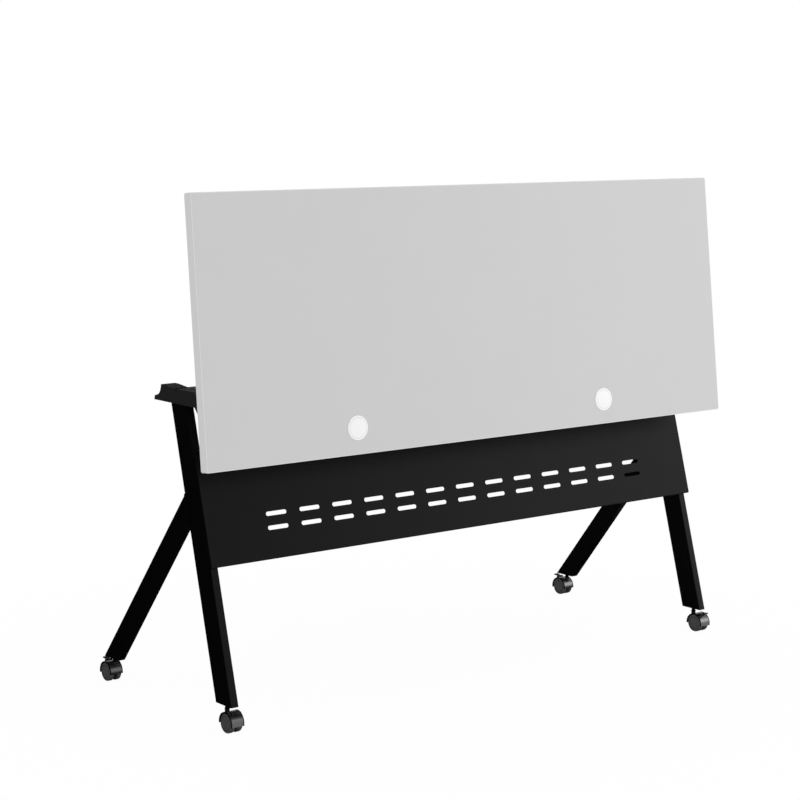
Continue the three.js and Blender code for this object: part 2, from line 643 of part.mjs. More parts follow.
function earGeometry() {
  const half = EAR_ROOT_WIDTH / 2;
  const round = circlePoints(0, 0, EAR_RADIUS, 0, -180, 2 * ARC_STEPS);
  const ear = outline([[-half, plateBottom + EDGE_BREAK], [half, plateBottom + EDGE_BREAK], ...round]);
  const halfFinger = FINGER_WIDTH / 2;
  const lever = STOP_RADIUS + FINGER_OVERREACH;
  const standOff = STOP_PEG_DIAMETER / 2 + halfFinger + RUNNING_GAP;
  const fingerAngle = rad(STOP_ANGLE) - Math.asin(standOff / STOP_RADIUS) - flip;
  const tip = circlePoints(lever - halfFinger, 0, halfFinger, -90, 90, ARC_STEPS);
  const finger = alongX(outline([[0, -halfFinger], ...tip, [0, halfFinger]]), earInnerX, earOuterX);
  finger.rotateX(fingerAngle);
  return join(alongX(ear, earInnerX, earOuterX), finger);
}

function lugGeometry(x) {
  const round = circlePoints(latchY, latchZ, LUG_RADIUS, 0, -180, ARC_STEPS);
  const half = LUG_RADIUS + LUG_FLARE;
  const root = plateBottom + EDGE_BREAK;
  const lug = outline([[latchY - half, root], [latchY + half, root], ...round]);
  return alongX(lug, x, x + BRACKET_SHEET);
}

function bracketGeometry() {
  const inner = earOuterX - BRACKET_WIDTH;
  const plate = block(inner, earOuterX, -BRACKET_REAR_REACH, bracketFront, plateBottom, plateTop);
  const wing = block(earOuterX - THROUGH, legOuterX - WING_TO_FRAME_EDGE,
    bracketFront - WING_LENGTH, bracketFront, plateBottom, plateTop);
  const body = join(plate, wing, earGeometry(), ...lugXs.map(lugGeometry));
  const pinBore = rodX(pivotHole, earInnerX - THROUGH, earOuterX + THROUGH, 0, 0);
  const latchBore = rodX(latchPinRadius + SEAT_GAP, lugXs[0] - THROUGH, legOuterX + THROUGH,
    latchY, latchZ, SMALL_SIDES);
  return cut(body, pinBore, latchBore);
}

function bushGeometry() {
  const inner = pivotHole;
  const outer = BUSH_DIAMETER / 2;
  const [x0, x1] = [earOuterX + SEAT_GAP, headInnerX - SEAT_GAP];
  return turned([[inner, x0], [outer, x0], [outer, x1], [inner, x1], [inner, x0]], 'x');
}

function latchPinGeometry() {
  const headRadius = latchPinRadius + LATCH_PIN_RIM;
  const x0 = lugXs[0] - LATCH_PIN_RIM;
  const x1 = lugXs[1] + BRACKET_SHEET + SEAT_GAP;
  const face = x1 + LATCH_PIN_RIM;
  const profile = [[0, x0], [latchPinRadius, x0], [latchPinRadius, x1], [headRadius, x1],
    [headRadius, x1 + EDGE_BREAK], [headRadius - EDGE_BREAK, face], [0, face]];
  return turned(profile, 'x', SMALL_SIDES).translate(0, latchY, latchZ);
}

// Latch lever: a hook that closes under the nose and a paddle that lifts it clear

const springSpace = SPRING_PITCH * SPRING_CURLS + SPRING_WIRE + 2 * SEAT_GAP;
const springRadius = latchPinRadius + RUNNING_GAP + SPRING_WIRE / 2;

function latchGeometry() {
  const [x0, x1] = [lugXs[0] + BRACKET_SHEET + RUNNING_GAP, lugXs[1] - RUNNING_GAP];
  const hookTop = noseUnder - LATCH_HOOK_GAP;
  const hookBottom = hookTop - LATCH_HOOK_THICKNESS;
  const shankRear = noseAhead + LATCH_SHANK_GAP;
  const shankFront = shankRear + LATCH_SHANK_THICKNESS;
  const paddleTip = latchY + LATCH_PADDLE_REACH;
  const paddleZ = latchZ - LATCH_PADDLE_DROP;
  const hub = circlePoints(latchY, latchZ, LATCH_HUB_RADIUS, 60, 180, ARC_STEPS);
  const rootY = latchY + LATCH_HUB_RADIUS;
  const rootZ = latchZ - LATCH_HUB_RADIUS;
  const toe = noseAhead - LATCH_HOOK_OVERLAP;
  const lever = outline([[toe, hookBottom + EDGE_BREAK], [shankFront - LATCH_HOOK_CHAMFER, hookBottom],
    [shankFront, hookBottom + LATCH_HOOK_CHAMFER], [rootY, rootZ],
    [paddleTip, paddleZ - LATCH_PADDLE_THICKNESS], [paddleTip, paddleZ],
    [rootY + LATCH_HOOK_CHAMFER, rootZ + LATCH_HUB_RADIUS], ...hub,
    [shankRear, latchZ - LATCH_HUB_RADIUS], [shankRear, hookTop + EDGE_BREAK], [toe, hookTop]]);
  const slope = Math.atan2(rootZ - paddleZ + LATCH_PADDLE_THICKNESS, paddleTip - rootY);
  const grip = new THREE.BoxGeometry(LATCH_GRIP_WIDTH, LATCH_GRIP_LENGTH, LATCH_PADDLE_THICKNESS);
  grip.rotateX(-slope);
  grip.translate((x0 + x1) / 2, paddleTip - LATCH_GRIP_LENGTH / 2 + EDGE_BREAK,
    paddleZ - LATCH_PADDLE_THICKNESS / 2 + Math.sin(slope) * LATCH_GRIP_LENGTH / 2);
  const body = join(alongX(lever, x0, x1), grip);
  const pinBore = rodX(latchPinRadius + SEAT_GAP, x0 - THROUGH, x1 + THROUGH, latchY, latchZ, SMALL_SIDES);
  const pocketRadius = LATCH_HUB_RADIUS + EDGE_BREAK;
  const springPocket = rodX(pocketRadius, x0 - THROUGH, x0 + springSpace, latchY, latchZ, SMALL_SIDES);
  return cut(body, pinBore, springPocket);
}

// Return spring: one unbroken wire wound round the latch pin.
class SpringWire extends THREE.Curve {
  getPoint(t) {
    const angle = t * SPRING_CURLS * 2 * Math.PI;
    return new THREE.Vector3(t * SPRING_CURLS * SPRING_PITCH, springRadius * Math.cos(angle),
      springRadius * Math.sin(angle));
  }
}

function springGeometry() {
  const steps = Math.round(SPRING_CURLS * SPRING_STEPS);
  const lastAngle = 360 * (1 - 1 / SPRING_SIDES);
  const section = outline(circlePoints(0, 0, SPRING_WIRE / 2, 0, lastAngle, SPRING_SIDES - 1));
  const wire = new THREE.ExtrudeGeometry(section, { steps, extrudePath: new SpringWire() });
  const start = lugXs[0] + BRACKET_SHEET + RUNNING_GAP + SPRING_WIRE / 2;
  return wire.translate(start, latchY, latchZ);
}

// The least gap between neighbouring curls, measured on points along the wire.
function springGap() {
  const wire = new SpringWire();
  const perCurl = 48;
  const count = Math.round(SPRING_CURLS * perCurl);
  const points = Array.from({ length: count + 1 }, (_, i) => wire.getPoint(i / count));
  let least = Infinity;
  points.forEach((a, i) => {
    points.slice(i + perCurl / 2).forEach((b) => {
      least = Math.min(least, a.distanceTo(b) - SPRING_WIRE);
    });
  });
  return least;
}

console.log(`latch spring, least gap between curls: ${springGap().toFixed(2)} mm`);

place('worktop_board', boardGeometry(), laminate, top);
place('edge_band', bandGeometry(), banding, top);
for (const [name, side] of Object.entries(sides)) {
  place(`${name}_grommet_sleeve`, onSide(sleeveGeometry(), side), whitePlastic, top);
  place(`${name}_grommet_cap`, onSide(capGeometry(), side), whitePlastic, top);
  place(`${name}_top_bracket`, onSide(bracketGeometry(), side), blackCoat, top);
  place(`${name}_pivot_bush`, onSide(bushGeometry(), side), nylon, top);
  place(`${name}_latch_pin`, onSide(latchPinGeometry(), side), zincSteel, top);
  place(`${name}_latch_lever`, onSide(latchGeometry(), side), latchPlastic, top);
  place(`${name}_latch_spring`, onSide(springGeometry(), side), zincSteel, top);
}

// Casters, drawn with the stem on the Z axis and the wheels trailing towards +Y

const webHalf = WHEEL_SPACE / 2 - RUNNING_GAP;
const wheelInner = WHEEL_SPACE / 2;
const wheelOuter = wheelInner + WHEEL_WIDTH;
const wellRadius = wheelRadius + HOOD_GAP;
const hoodRadius = wellRadius + HOOD_WALL;
const axleRadius = AXLE_DIAMETER / 2;
const brakeRadius = hoodRadius + BRAKE_STANDOFF;
const brakeY = CASTER_TRAIL + brakeRadius * Math.cos(rad(BRAKE_ANGLE));
const brakeZ = wheelRadius + brakeRadius * Math.sin(rad(BRAKE_ANGLE));

function hoodGeometry() {
  const arc = circlePoints(CASTER_TRAIL, wheelRadius, hoodRadius, HOOD_FROM, HOOD_TO, HOOD_STEPS);
  const fender = alongX(outline([[CASTER_TRAIL, wheelRadius], ...arc]), -wheelOuter, wheelOuter);
  const lobe = rodX(AXLE_LOBE_RADIUS, -webHalf, webHalf, CASTER_TRAIL, wheelRadius, SMALL_SIDES);
  const boss = rodZ(STEM_BOSS_DIAMETER / 2, 0, 0, wheelRadius, STEM_BOSS_TOP, SMALL_SIDES);
  const lugStart = BRAKE_WIDTH / 2 + SEAT_GAP;
  const lugs = Object.values(sides).map((side) => {
    const ends = [side * lugStart, side * (lugStart + BRAKE_LUG_THICKNESS)].sort((a, b) => a - b);
    return rodX(BRAKE_LUG_RADIUS, ...ends, brakeY, brakeZ, SMALL_SIDES);
  });
  const far = 2 * wheelOuter;
  const wells = [[webHalf, far], [-far, -webHalf]].map(
    ([x0, x1]) => rodX(wellRadius, x0, x1, CASTER_TRAIL, wheelRadius));
  const stemBore = rodZ(STEM_SHANK_DIAMETER / 2 + SEAT_GAP, 0, 0, STEM_SHANK_BOTTOM - SEAT_GAP,
    STEM_BOSS_TOP + THROUGH, SMALL_SIDES);
  const axleBore = rodX(axleRadius + SEAT_GAP, -far, far, CASTER_TRAIL, wheelRadius, SMALL_SIDES);
  const brakeSlot = rodX(BRAKE_BARREL_RADIUS + HOOD_GAP, -lugStart, lugStart, brakeY, brakeZ, SMALL_SIDES);
  const trunnionBore = rodX(BRAKE_TRUNNION_DIAMETER / 2 + SEAT_GAP, -far, far, brakeY, brakeZ, SMALL_SIDES);
  return cut(join(fender, lobe, boss, ...lugs), ...wells, stemBore, axleBore, brakeSlot, trunnionBore);
}

function wheelGeometry() {
  const bore = axleRadius + SEAT_GAP;
  const profile = [[0, wheelOuter], [WHEEL_HUB_RADIUS, wheelOuter],
    [WHEEL_HUB_RADIUS + WHEEL_DISH_DEPTH, wheelOuter - WHEEL_DISH_DEPTH],
    [WHEEL_DISH_RADIUS, wheelOuter - WHEEL_DISH_DEPTH], [wheelRadius - WHEEL_RIM, wheelOuter],
    [wheelRadius - EDGE_BREAK, wheelOuter - WHEEL_RIM + EDGE_BREAK],
    [wheelRadius, wheelOuter - WHEEL_RIM - WHEEL_TREAD_EDGE], [wheelRadius, wheelInner + WHEEL_TREAD_EDGE],
    [wheelRadius - EDGE_BREAK, wheelInner], [bore, wheelInner],
    [bore, wheelOuter - WHEEL_FACE], [0, wheelOuter - WHEEL_FACE]];
  return turned(profile, 'x').translate(0, CASTER_TRAIL, wheelRadius);
}

function axleGeometry() {
  const reach = wheelOuter - WHEEL_FACE - SEAT_GAP;
  return rodX(axleRadius, -reach, reach, CASTER_TRAIL, wheelRadius, SMALL_SIDES);
}

function stemGeometry() {
  const collarBottom = STEM_BOSS_TOP + SEAT_GAP;
  const collarTop = collarBottom + STEM_COLLAR_THICKNESS;
  const top = LEG_BASE_HEIGHT + STEM_INSERTION;
  const shank = STEM_SHANK_DIAMETER / 2;
  const collar = STEM_COLLAR_DIAMETER / 2;
  const thread = STEM_DIAMETER / 2;
  const profile = [[0, STEM_SHANK_BOTTOM], [shank, STEM_SHANK_BOTTOM], [shank, collarBottom],
    [collar, collarBottom], [collar, collarTop], [thread, collarTop], [thread, top], [0, top]];
  return turned(profile, 'z', SMALL_SIDES);
}

function brakeGeometry() {
  const half = BRAKE_WIDTH / 2;
  const barrel = rodX(BRAKE_BARREL_RADIUS, -half, half, brakeY, brakeZ, SMALL_SIDES);
  const tip = brakeY + BRAKE_REACH;
  const tipZ = brakeZ + BRAKE_RISE;
  const bend = tip - BRAKE_TREAD_LENGTH;
  const bendZ = tipZ - BRAKE_TREAD_RISE;
  const rootZ = brakeZ + BRAKE_BARREL_RADIUS;
  const rim = [[bend, bendZ - BRAKE_THICKNESS], [tip - EDGE_BREAK, tipZ - BRAKE_THICKNESS],
    [tip, tipZ - BRAKE_THICKNESS / 2], [tip - EDGE_BREAK, tipZ], [bend, bendZ]];
  const paddle = outline([[brakeY, rootZ - BRAKE_THICKNESS], ...rim, [brakeY, rootZ]]);
  const tread = outline(rim);
  const trunnion = half + BRAKE_LUG_THICKNESS;
  return join(barrel, alongX(paddle, -half, half),
    alongX(tread, -BRAKE_TREAD_WIDTH / 2, BRAKE_TREAD_WIDTH / 2),
    rodX(BRAKE_TRUNNION_DIAMETER / 2, -trunnion, trunnion, brakeY, brakeZ, SMALL_SIDES));
}

const casters = [['front', frontFootY, 0], ['rear', postFootY, Math.PI]];
for (const [name, side] of Object.entries(sides)) {
  for (const [end, y, turn] of casters) {
    const caster = new THREE.Group();
    caster.position.set(side * legX, y, 0);
    caster.rotation.z = turn;
    table.add(caster);
    const label = `${name}_${end}`;
    place(`${label}_caster_stem`, stemGeometry(), blackCoat, caster);
    place(`${label}_caster_hood`, hoodGeometry(), hoodPlastic, caster);
    place(`${label}_caster_axle`, axleGeometry(), zincSteel, caster);
    place(`${label}_wheel_a`, onSide(wheelGeometry(), -1), wheelPlastic, caster);
    place(`${label}_wheel_b`, wheelGeometry(), wheelPlastic, caster);
    place(`${label}_brake_lever`, brakeGeometry(), hoodPlastic, caster);
  }
}

export default table;
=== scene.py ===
"""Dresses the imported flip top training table: finer pieces, finishes, light and camera.

Lengths are metres in the table's own frame: X along the table, Z up, and -Y the side that
the modesty panel faces. The top is drawn tipped up, as it stands for storage.
"""
import json
import math

import bmesh
import bpy
from bpy.props import FloatProperty, FloatVectorProperty, IntProperty, PointerProperty
from bpy.types import Operator, Panel, PropertyGroup
from mathutils import Matrix, Vector


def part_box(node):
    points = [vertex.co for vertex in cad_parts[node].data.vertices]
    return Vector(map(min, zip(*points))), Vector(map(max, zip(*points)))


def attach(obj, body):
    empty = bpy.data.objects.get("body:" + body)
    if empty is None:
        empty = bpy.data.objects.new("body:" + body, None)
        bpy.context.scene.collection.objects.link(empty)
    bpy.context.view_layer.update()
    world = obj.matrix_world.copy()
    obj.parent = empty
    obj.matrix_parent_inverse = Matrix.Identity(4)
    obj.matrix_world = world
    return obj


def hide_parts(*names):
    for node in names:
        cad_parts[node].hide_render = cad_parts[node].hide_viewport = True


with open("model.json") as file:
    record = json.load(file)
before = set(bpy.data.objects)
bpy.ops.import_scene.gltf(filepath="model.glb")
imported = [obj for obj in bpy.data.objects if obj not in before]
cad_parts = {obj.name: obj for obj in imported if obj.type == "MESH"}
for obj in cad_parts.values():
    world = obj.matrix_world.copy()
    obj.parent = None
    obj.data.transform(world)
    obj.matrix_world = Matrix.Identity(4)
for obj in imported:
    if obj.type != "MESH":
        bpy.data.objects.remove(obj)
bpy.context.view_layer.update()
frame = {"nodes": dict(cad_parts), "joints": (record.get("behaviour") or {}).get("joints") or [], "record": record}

bl_info = {
    "name": "Flip Top Training Table",
    "version": (1, 0, 0),
    "blender": (4, 5, 0),
    "location": "View3D > Sidebar > Training Table",
    "description": "Dresses a packed flip top training table with finished pieces and a studio",
    "category": "Object",
}

MM = 0.001
SIDES = {"left": -1, "right": 1}
CASTERS = ("left_front", "left_rear", "right_front", "right_rear")
SMOOTH_ANGLE = math.radians(32)
WELD_DISTANCE = 1e-6
SLIVER = 0.1 * MM
FLAT_ANGLE = math.radians(0.5)
CUT_OVERLAP = 1 * MM

# Steps along curves
ROUND_STEPS = 64
SMALL_ROUND_STEPS = 32
RIDGE_STEPS = 16
CORNER_STEPS = 8
EDGE_STEPS = 4
DOME_STEPS = 6
CAP_STEPS = 10
HOOD_STEPS = 48
CURL_STEPS = 24
SPRING_LEG_STEPS = 4
WIRE_SIDES = 10
WELD_SIDES = 8
HEXAGON_SIDES = 6
BEVEL_STEPS = 2


# The frame's own places

def joint(name):
    """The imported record's row for a joint."""
    return next(row for row in frame["joints"] if row["name"] == name)


def corners(node, place=Matrix()):
    """Lowest and highest corners of a CAD node, measured along the axes of a place."""
    back = place.inverted()
    points = [back @ vertex.co for vertex in frame["nodes"][node].data.vertices]
    low = Vector([min(point[axis] for point in points) for axis in range(3)])
    high = Vector([max(point[axis] for point in points) for axis in range(3)])
    return low, high


def slot_colour(slot):
    """The base colour that the record gives a material slot."""
    row = next(row for row in frame["record"]["materials"] if row["slot"] == slot)
    return tuple(row["base_color"])


FLIP = joint("top_flip")
TOP_PLACE = Matrix.Translation(FLIP["pos_m"]) @ Matrix.Rotation(math.radians(FLIP["range_deg"][1]), 4, "X")


def caster_place(label):
    """A caster's own axes: the stem on Z and the wheels trailing towards +Y."""
    low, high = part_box(f"{label}_caster_stem")
    turn = math.pi if label.endswith("rear") else 0.0
    middle = (low + high) / 2
    return Matrix.Translation((middle.x, middle.y, 0)) @ Matrix.Rotation(turn, 4, "Z")


# Settings

def length(name, description, millimetres):
    """A length that a user may change, with its default in millimetres."""
    return FloatProperty(name=name, description=description, default=millimetres * MM, min=0.0, unit="LENGTH")


def angle(name, description, degrees):
    """An angle that a user may change, with its default in degrees."""
    return FloatProperty(name=name, description=description, default=math.radians(degrees), subtype="ANGLE")


def number(name, description, default, least):
    """A whole number that a user may change."""
    return IntProperty(name=name, description=description, default=default, min=least)


def spot(name, description, default):
    """A place in metres that a user may change."""
    return FloatVectorProperty(name=name, description=description, default=default, size=3,
                               subtype="TRANSLATION", unit="LENGTH")


def colour(name, slot):
    """A finish's base colour, with the record's colour as its default."""
    return FloatVectorProperty(name=name, description=f"Base colour of the {name.lower()}",
                               default=slot_colour(slot), size=3, min=0.0, max=1.0, subtype="COLOR")


class FinishSettings(PropertyGroup):
    """Base colours of the finishes."""
    laminate: colour("Laminate", "laminate")
    edge_band: colour("Edge band", "edge_band")
    black_coat: colour("Powder coat", "black_coat")
    cast_black: colour("Coated casting", "cast_black")
    white_plastic: colour("Grommet plastic", "white_plastic")
    latch_plastic: colour("Latch plastic", "latch_plastic")
    caster_plastic: colour("Caster plastic", "caster_plastic")
    wheel_plastic: colour("Wheel plastic", "wheel_plastic")
    zinc_steel: colour("Zinc plate", "zinc_steel")
    rubber: colour("Rubber", "rubber")
    nylon: colour("Nylon", "nylon")


class WorktopSettings(PropertyGroup):
    """Sizes of the board, its edge band and the grommets."""
    corner: length("Corner radius", "Radius of the top's corners in plan", 4)
    band: length("Band thickness", "Thickness of the edge band", 2)
    band_round: length("Band edge radius", "Rounding along the band's two edges", 1)
    seam: length("Seam", "Gap between the board and its band", 0.03)
    flange_round: length("Flange radius", "Rounding of the grommet flange", 1.2)
    flange_rise: length("Flange rise", "Height of the grommet flange over the board", 1.6)
    sleeve_radius: length("Sleeve radius", "Outer radius of the grommet sleeve", 25)
    sleeve_wall: length("Sleeve wall", "Wall of the grommet sleeve", 1.8)
    sleeve_lip: length("Sleeve lip", "Rounding of the grommet sleeve's mouth", 0.4)
    ledge: length("Cap ledge", "Width of the ledge under the grommet cap", 2.2)
    ledge_gap: length("Ledge gap", "Gap between the ledge and the grommet cap", 0.2)
    cap_round: length("Cap edge radius", "Rounding of the grommet cap's rim", 0.7)
    cap_dome: length("Cap dome", "Rise of the cap's middle over its rim", 0.35)


class LegSettings(PropertyGroup):
    """Sizes of the leg tubes and the cross beam."""
    width: length("Tube width", "Width of the leg tubes along the table", 20)
    wall: length("Tube wall", "Wall thickness of the tubes", 2)
    corner: length("Tube corner", "Corner radius of the leg tubes", 2)
    post_lean: angle("Post lean", "Lean of the rear posts", 15.3)
    front_lean: angle("Front leg lean", "Lean of the front legs", 39.7)
    front_depth: length("Front leg depth", "Depth of the front leg tube", 48)
    weld: length("Weld bead", "Radius of the weld between leg and post", 1.9)
    weld_ripple: length("Weld ripple", "Height of the ripples along the weld", 0.25)
    beam_corner: length("Beam corner", "Corner radius of the cross beam", 4)


class PanelSettings(PropertyGroup):
    """Sizes of the modesty panel."""
    sheet: length("Sheet", "Thickness of the panel's steel", 1.5)
    bend: length("Bend radius", "Outer radius of the folded edges", 2.5)
    corner: length("Corner radius", "Radius of the panel's corners", 3.5)
    columns: number("Slot columns", "Slots in each row", 13, 1)
    rows: number("Slot rows", "Rows of slots", 2, 1)
    pitch: length("Slot pitch", "Distance between slots along a row", 90.94)
    row_pitch: length("Row pitch", "Distance between the rows", 31.5)
    slot_length: length("Slot length", "Length of a slot over its round ends", 55.5)
    slot_height: length("Slot height", "Height of a slot", 9.5)
    lower_row: length("Lower row", "Height of the lower row over the panel's lower edge", 69)


class HardwareSettings(PropertyGroup):
    """Sizes of screws, bolts, pins and springs."""
    edge: length("Edge radius", "Rounding of the castings, brackets and levers", 0.7)
    screw_head: length("Screw head radius", "Radius of the bracket screw heads", 4.6)
    screw_rise: length("Screw head height", "Height of the bracket screw heads", 2.4)
    socket: length("Socket radius", "Corner radius of the hexagon sockets", 2.3)
    socket_depth: length("Socket depth", "Depth of the hexagon sockets", 1.4)
    pin_shank: length("Pivot pin shank", "Radius of the pivot pin", 6)
    pin_head: length("Pivot pin head", "Thickness of the pivot pin's head", 5)
    pin_round: length("Pivot pin radius", "Rounding of the pivot pin's head", 1.2)
    pin_tip: length("Pivot pin tip", "Chamfer of the pivot pin's tip", 1)
    pad_round: length("Pad radius", "Rounding of the support pads", 1.5)
    bolt_shank: length("Bolt shank", "Radius of the panel bolts", 3)
    bolt_rise: length("Bolt head height", "Height of the panel bolts' heads", 3.5)
    bolt_rim: length("Bolt rim", "Height of the straight rim of a bolt's head", 0.4)
    plate_width: length("Bracket width", "Width of the top brackets' plates", 48)
    plate_sheet: length("Bracket sheet", "Thickness of the top brackets' plates", 3)
    latch_shank: length("Latch pin shank", "Radius of the latch pins", 3)
    latch_rise: length("Latch pin head", "Height of the latch pins' heads", 2)
    latch_tip: length("Latch pin tip", "Chamfer of the latch pins' tips", 0.5)
    wire: length("Spring wire", "Diameter of the latch spring's wire", 1.1)
    curl_pitch: length("Curl pitch", "Distance between the latch spring's turns", 1.6)
    spring_leg: length("Spring leg", "Length of the latch spring's two legs", 5.5)
    curls: FloatProperty(name="Spring curls", description="Turns of the latch spring", default=3.5, min=1.0)
    grip_reach: length("Grip reach", "Distance from a latch's pin to the end of its grip", 73)
    grip_drop: length("Grip drop", "Drop of the grip's end below the latch's pin", 19)
    grip_length: length("Grip length", "Length of the latch grip", 36)
    grip_sheet: length("Grip thickness", "Thickness of the latch grip", 4)
    grip_slope: angle("Grip slope", "Slope of the latch grip", 13.83)
    grip_margin: length("Grip margin", "Plain margin round the ribbed face of the grip", 2.5)
    rib: length("Grip rib", "Radius of the ribs on the latch grip", 0.8)
    ribs: number("Grip ribs", "Ribs on each latch grip", 7, 1)


class CasterSettings(PropertyGroup):
    """Sizes of the twin wheel casters."""
    running_gap: length("Running gap", "Gap between the web and the wheels", 0.5)
    edge: length("Edge radius", "Rounding of the hood, the tread and the pedal", 0.6)
    hood_wall: length("Hood wall", "Wall of the hood over the wheels", 2)
    hood_from: angle("Hood start", "Angle at which the hood starts, over the floor line", -12)
    hood_to: angle("Hood end", "Angle at which the hood ends", 186)
    boss: length("Stem boss", "Radius of the boss round the stem", 5.5)
    boss_top: length("Boss top", "Height of the boss over the floor", 48.5)
    lobe: length("Axle lobe", "Radius of the web's lobe round the axle", 9)
    axle_bore: length("Axle bore", "Radius of the holes for the axle", 4.3)
    stem_bore: length("Stem bore", "Radius of the hole for the stem", 3.3)
    stem_seat: length("Stem seat", "Gap under the stem's collar and its shank", 0.3)
    shank: length("Stem shank", "Radius of the stem inside the boss", 3)
    collar: length("Stem collar", "Radius of the stem's collar", 6)
    collar_thickness: length("Collar thickness", "Thickness of the stem's collar", 2)
    thread: length("Stem thread", "Radius of the stem's thread", 5)
    thread_pitch: length("Thread pitch", "Distance between the thread's turns", 1.5)
    # The hood's black rim bands are painted shade: dark strips for the shade on the rims and in the gap beside the
    # wheels.
    trim: length("Hood trim", "Width of the black trim along the hood's rims", 2)
    trim_rise: length("Trim rise", "Height of the trim over the hood", 0.25)
    shoulder: length("Tread shoulder", "Rounding of the tread's outer edge", 3.4)
    disc: length("Disc radius", "Radius of the wheel's cover disc", 15.6)
    disc_sheet: length("Disc thickness", "Thickness of the cover disc", 2.5)
    groove: length("Disc groove", "Width of the groove round the cover disc", 1.1)
    dish: length("Dish radius", "Radius of the disc's shallow dish", 13.4)
    dish_depth: length("Dish depth", "Depth of the disc's shallow dish", 0.8)
    lug: length("Brake lug", "Radius of the hood's brake lugs", 4.5)
    lug_thickness: length("Lug thickness", "Thickness of the brake lugs", 3)
    brake: length("Brake half width", "Half the width of the brake lever", 5)
    brake_gap: length("Brake gap", "Gap between the brake lever and its lugs", 0.3)
    brake_barrel: length("Brake barrel", "Radius of the brake lever's barrel", 3)
    brake_slot: length("Brake slot", "Radius of the slot that the barrel turns in", 4)
    trunnion: length("Brake trunnion", "Radius of the brake lever's trunnions", 1.5)
    brake_sheet: length("Pedal thickness", "Thickness of the brake pedal", 2.6)
    pedal: length("Pedal half width", "Half the width of the pedal's tread", 6)
    pedal_length: length("Pedal length", "Length of the pedal's tread", 10)
    pedal_rise: length("Pedal rise", "Rise of the pedal's tread", 0.8)
    pedal_ridges: number("Pedal ridges", "Ridges across the pedal", 3, 0)
    pedal_ridge: length("Pedal ridge", "Radius of the ridges across the pedal", 0.6)


class StageSettings(PropertyGroup):
    """Camera and lights."""
    camera: spot("Camera", "Place of the camera", (-3.111, -3.9615, 1.3495))
    heading: angle("Heading", "Direction of the view, from +Y towards +X", 37.636)
    dip: angle("Dip", "Angle of the view below the horizon", 4.74)
    lens: FloatProperty(name="Lens", description="Focal length in millimetres", default=93.0, unit="CAMERA")
    shift: FloatProperty(name="Shift", description="Vertical lens shift", default=-0.15)
    sky: FloatProperty(name="Sky light", description="Strength of the even light", default=0.9, min=0.0)
    key: FloatProperty(name="Key light", description="Power of the soft box in watts", default=85.0,
                       min=0.0, unit="POWER")
    key_place: spot("Key place", "Place of the soft box", (5.2, -4.4, 2.2))
    key_aim: spot("Key aim", "Point that the soft box is aimed at", (0, 0, 0.6))
    key_size: length("Key size", "Width of the soft box", 3000)


class TableSettings(PropertyGroup):
    """All of the table's settings."""
    finishes: PointerProperty(type=FinishSettings)
    worktop: PointerProperty(type=WorktopSettings)
    legs: PointerProperty(type=LegSettings)
    panel: PointerProperty(type=PanelSettings)
    hardware: PointerProperty(type=HardwareSettings)
    casters: PointerProperty(type=CasterSettings)
    stage: PointerProperty(type=StageSettings)


# Outlines

def arc(a, b, radius, start, end, steps):
    """Points along an arc round (a, b), with angles in degrees."""
    turns = [math.radians(start + (end - start) * step / steps) for step in range(steps + 1)]
    return [(a + radius * math.cos(turn), b + radius * math.sin(turn)) for turn in turns]


def circle(a, b, radius, steps=ROUND_STEPS):
    """Points round a circle, without repeating the first."""
    return arc(a, b, radius, 0, 360, steps)[:-1]


def rounded_rectangle(a0, a1, b0, b1, radius, steps=CORNER_STEPS):
    """Points round a rectangle with round corners."""
    return [*arc(a1 - radius, b0 + radius, radius, -90, 0, steps),
            *arc(a1 - radius, b1 - radius, radius, 0, 90, steps),
            *arc(a0 + radius, b1 - radius, radius, 90, 180, steps),
            *arc(a0 + radius, b0 + radius, radius, 180, 270, steps)]


def dome(radius, base, rise):
    """Profile points up a dome, from its rim to just short of its top."""
    turns = [math.radians(90 * step / DOME_STEPS) for step in range(DOME_STEPS)]
    return [(radius * math.cos(turn), base + rise * math.sin(turn)) for turn in turns]


# Meshes

LIFT = {"x": lambda a, b, h: (h, a, b), "z": lambda a, b, h: (a, b, h)}


